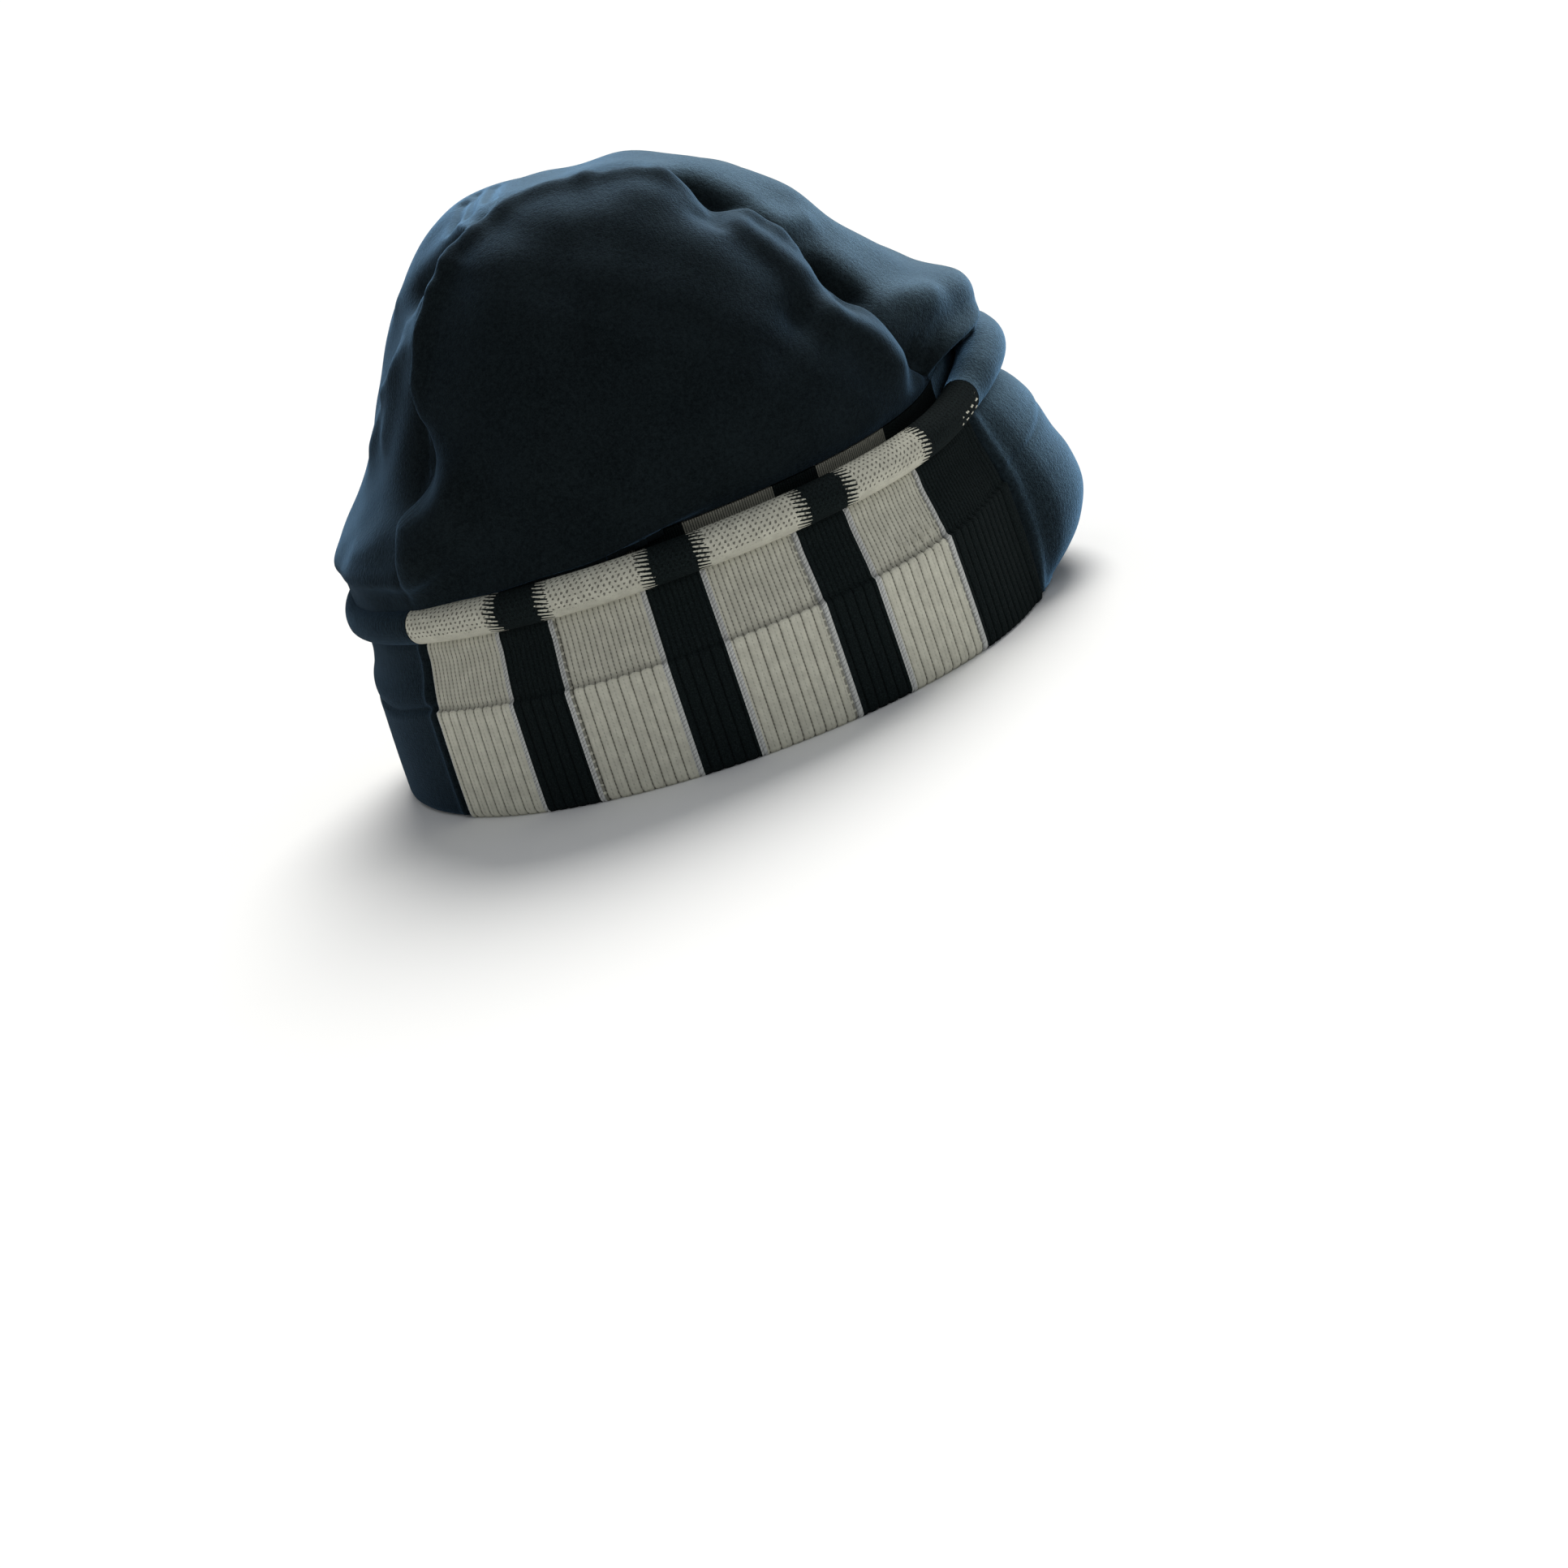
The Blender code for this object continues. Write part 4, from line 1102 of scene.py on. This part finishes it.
# Where the side panel's lip lies, and the reach of each form beside a seam, in metres.
LIP_PLACE, LIP_WIDTH = 0.0038, 0.0036
POCKET_WIDTH, VALLEY_WIDTH = 0.0050, 0.0080
SEAM_SINK, SINK_WIDTH = 0.0003, 0.0018
SHARED_WIDTH = 0.0040
# The share of a pocket's depth that both edges have, and that of all forms on the left seam.
EDGE_SHARE = 0.6
LEFT_SHARE = 0.4
# The seams pucker less and less between these places, and then only by this share.
PLAIN_SEAM, PLAIN_SHARE = (0.84, 0.70), 0.15
EDGE_FADE = 0.002
SEAM_PLACES = 500
# Puckers beside the seams. Columns: length of a wave in metres, its height, its start as a share.
PUCKERS = ((0.0093, 0.00034, 0.1), (0.0141, 0.00036, 0.55), (0.0213, 0.0003, 0.3))
PUCKER_REACH = 0.0065
PUCKER_SWAY, PUCKER_SWAY_TURN = 0.4, 31
# Soft unevenness of the cloth. Columns: length of a wave in x, y and z, height, start as a share.
WAVES = ((0.041, 0.033, 0.046, 0.00022, 0.2), (-0.029, 0.052, 0.031, 0.00018, 0.7),
         (0.023, -0.027, 0.035, 0.00010, 0.4))


def seam_distance(grid, seam):
    """Distance of each point of a panel from a seam, and the place of the nearest point on the seam."""
    places = np.linspace(0, 1, SEAM_PLACES)
    line = seam.at(places)
    near = np.empty(grid.shape[:2])
    nearest = np.empty(grid.shape[:2], int)
    for column, points in enumerate(grid):
        gaps = np.linalg.norm(points[:, None] - line[None], axis=-1)
        nearest[column] = gaps.argmin(1)
        near[column] = gaps.min(1)
    return near, places[nearest]


def panel_seams(name, grid):
    """The seams of a panel, each with every point's distance from it and place along it."""
    return [(word, seam, *seam_distance(grid, seam)) for word, seam in SEAMS.items()
            if name in (f"crown_side_{word}", "crown_strip")]


def seam_way(seams, normals):
    """Outward directions that turn into the seam's own near it, the same on both of its sides."""
    way = normals
    for _, seam, near, places in seams:
        shared = bell(near / SHARED_WIDTH)[..., None]
        way = unit(way * (1 - shared) - seam.directions(places)[1] * shared)
    return way


def seam_relief(name, seams):
    """Height of the lips, pockets and puckers of a panel along its seams."""
    result = 0
    for word, seam, near, places in seams:
        share = 1 if word == "right" else LEFT_SHARE
        lip, pocket, valley = (read(SEAM_FINISH, column, places) * share * MILLIMETRE
                               for column in (3, 4, 5))
        sewn = (PLAIN_SHARE + (1 - PLAIN_SHARE) * step(*PLAIN_SEAM, places)) * share
        if name == "crown_strip":
            relief = -pocket * bell(near / POCKET_WIDTH)
        else:
            relief = lip * bell((near - LIP_PLACE) / LIP_WIDTH)
        stitched = bell(near / SINK_WIDTH)
        relief = relief * (1 - stitched) - (SEAM_SINK * sewn + EDGE_SHARE * pocket) * stitched
        relief -= valley * bell(near / VALLEY_WIDTH)
        for length, height, start in PUCKERS:
            sway = PUCKER_SWAY * np.sin(places * PUCKER_SWAY_TURN)
            turns = places * seam.length / length + start + sway
            relief += height * sewn * np.sin(2 * math.pi * turns) * np.exp(-near / PUCKER_REACH)
        result = result + relief
    return result


def unevenness(grid):
    """Soft waves all over a panel."""
    result = np.zeros(grid.shape[:2])
    for x, y, z, height, start in WAVES:
        turns = grid[..., 0] / x + grid[..., 1] / y + grid[..., 2] / z + start
        result += height * np.sin(2 * math.pi * turns)
    return result


def normals_of(grid):
    """Outward directions at each point of a panel."""
    wide, high = np.gradient(grid, axis=0), np.gradient(grid, axis=1)
    normal = unit(np.cross(wide, high))
    out = grid - HAT_MIDDLE
    return normal * np.where((normal * out).sum(-1, keepdims=True) < 0, -1, 1)


def line_distance(points, start, end):
    """Distance of each point from the straight line between two others."""
    line = end - start
    share = np.clip(((points - start) @ line) / max(line @ line, 1e-12), 0, 1)
    return np.linalg.norm(points - start - share[..., None] * line, axis=-1)


def edge_fade(grid):
    """1 inside a panel and 0 on its four edges."""
    from_start, from_low = distances(grid, 0), distances(grid, 1)
    near = np.minimum(np.minimum(from_start, from_start[-1:] - from_start),
                      np.minimum(from_low, from_low[:, -1:] - from_low))
    return 1 - bell(near / EDGE_FADE)


def fold_heights(name, grid):
    """Sum of all folds of a panel."""
    heights = np.zeros(grid.shape[:2])
    columns, rows = grid.shape[0] - 1, grid.shape[1] - 1
    for along, up, end_along, end_up, width, height in FOLDS[name]:
        start = grid[round(along * columns), round(up * rows)]
        end = grid[round(end_along * columns), round(end_up * rows)]
        near = line_distance(grid, start, end) / (width * CROWN_RISE)
        heights += height * CROWN_RISE * bell(near)
    return heights


def crown_piece(name, grid):
    """A crown panel with its folds, its wall and its finish."""
    seams, normals = panel_seams(name, grid), normals_of(grid)
    push = (fold_heights(name, grid) + unevenness(grid)) * edge_fade(grid)
    shift = normals * push[..., None] + seam_way(seams, normals) * seam_relief(name, seams)[..., None]
    if name != "crown_strip":
        # A side panel's foot stays where it is sewn on.
        shift[:, 0] = 0
    grid = grid + shift
    columns, rows = grid.shape[:2]
    along, up = distances(grid, 0)[:, rows // 2], distances(grid, 1)[columns // 2]
    uvs = np.stack(np.meshgrid(along, up, indexing="ij"), -1)
    piece = cloth_grid(f"{name}_cloth", grid, uvs)
    middle = piece.data.polygons[rows // 2 * (columns - 1) + columns // 2]
    if middle.normal.dot(middle.center - Vector(HAT_MIDDLE)) < 0:
        piece.data.flip_normals()
    wall = piece.modifiers.new("wall", "SOLIDIFY")
    wall.thickness = FLEECE
    wall.offset = -1
    bpy.ops.object.modifier_apply(modifier=wall.name)
    # Near a seam the wall goes in along the direction that both panels share.
    inner = grid - seam_way(seams, normals_of(grid)) * FLEECE
    corners = np.stack([grid, inner]).transpose(0, 2, 1, 3)
    piece.data.vertices.foreach_set("co", corners.astype(np.float32).ravel())
    piece.data.update()
    face_outwards(piece)
    dress(piece, name, CROWN_FLEECE)


crown_piece("crown_side_right", side_panel_grid("right"))
crown_piece("crown_side_left", side_panel_grid("left"))
crown_piece("crown_strip", strip_grid())

# %% [markdown]
# ## Floor, light and camera
# The hat rests on its rim on a pale floor. A sky that is brighter on one side and a broad sun light
# all of it. Two more lamps light only dark cloth: one makes the nap of the fleece glow along its
# outline, and the other brings out the front of the strip and the front cuff.

# %% Stage
bpy.ops.object.select_all(action="DESELECT")
bpy.ops.mesh.primitive_plane_add(size=60)
floor = bpy.context.object
floor.name = "floor"
paint = Graph(bpy.data.materials.new("pale_floor"))
paint.put(paint.tree.nodes["Principled BSDF"], {"Base Color": (0.86, 0.86, 0.85, 1), "Roughness": 0.9})
floor.data.materials.append(paint.owner)

SKY_BRIGHT_WAY = (-0.30, -0.45, 0.84)
SKY_STRENGTHS = (0.09, 0.48)
sky = Graph(bpy.data.worlds.new("soft_sky"))
facing = sky.add("VectorMath", "Value", {0: sky.add("TexCoord", "Generated", {}), 1: SKY_BRIGHT_WAY},
                 operation="DOT_PRODUCT")
inputs = {"Value": facing, "From Min": -1, "To Min": SKY_STRENGTHS[0], "To Max": SKY_STRENGTHS[1]}
sky.put(sky.tree.nodes["Background"], {0: (0.93, 0.96, 1.0, 1), 1: sky.add("MapRange", "Result", inputs)})
bpy.context.scene.world = sky.owner
bpy.context.scene.view_settings.view_transform = "Standard"

# %% Lamps
HAT_CENTRE = Vector((0, 0, 0.08))
SUN_FROM = Vector((0.56, -0.34, 0.76))
LAMP_COLOUR = (0.82, 0.94, 1.0)


def lamp(name, kind, energy, colour, at, target):
    """A lamp that looks at a target."""
    light = bpy.data.lights.new(name, kind)
    light.energy = energy
    light.color = colour
    result = bpy.data.objects.new(name, light)
    bpy.context.scene.collection.objects.link(result)
    result.location = at
    result.rotation_euler = (target - Vector(at)).to_track_quat("-Z", "Y").to_euler()
    return result


def area_lamp(name, at, size, energy, pieces):
    """A square lamp that looks at the hat and lights only the given pieces."""
    result = lamp(name, "AREA", energy, LAMP_COLOUR, at, HAT_CENTRE)
    result.data.size = size
    lit = bpy.data.collections.new(f"lit_by_{name}")
    for piece in pieces:
        lit.objects.link(piece)
    result.light_linking.receiver_collection = lit


sun = lamp("sun", "SUN", 3.5, (1.0, 0.985, 0.96), SUN_FROM, Vector((0, 0, 0)))
sun.data.angle = math.radians(35)
fleece_pieces = [piece for piece in PIECES if piece.name.endswith("cloth")]
nose_pieces = [piece for piece in PIECES if piece.name in ("crown_strip_cloth", "cuff_front_cloth")]
area_lamp("rim_lamp", (0.85, -0.62, 0.95), 0.9, 84, fleece_pieces)
area_lamp("front_lamp", (0.44, -1.20, 0.85), 0.8, 115, nose_pieces)

# %% Camera
PHOTO_SIDE = 1932
FOCAL_PIXELS = 5642
AIM = Vector((0, OVAL_Y, 0.060))
AIM_PIXEL = (816, 600)
DISTANCE = 1.300
TURN, LIFT, ROLL = math.radians(99.3), math.radians(12.5), math.radians(-18.7)

towards = Vector((-math.sin(TURN) * math.cos(LIFT), -math.cos(TURN) * math.cos(LIFT), math.sin(LIFT)))
level = (-towards).cross(Vector((0, 0, 1))).normalized()
upright = level.cross(-towards)
right = level * math.cos(ROLL) + upright * math.sin(ROLL)
top = upright * math.cos(ROLL) - level * math.sin(ROLL)
centre = PHOTO_SIDE / 2
view = (-towards + right * ((centre - AIM_PIXEL[0]) / FOCAL_PIXELS)
        - top * ((centre - AIM_PIXEL[1]) / FOCAL_PIXELS)).normalized()
right = (right - view * right.dot(view)).normalized()
top = right.cross(view)
lens = bpy.data.cameras.new("camera")
lens.sensor_width = 36
lens.lens = lens.sensor_width * FOCAL_PIXELS / PHOTO_SIDE
lens.clip_end = 200
camera = bpy.data.objects.new("camera", lens)
bpy.context.scene.collection.objects.link(camera)
turned = Matrix((right, top, -view)).transposed().to_4x4()
camera.matrix_world = Matrix.Translation(AIM + towards * DISTANCE) @ turned
bpy.context.scene.camera = camera
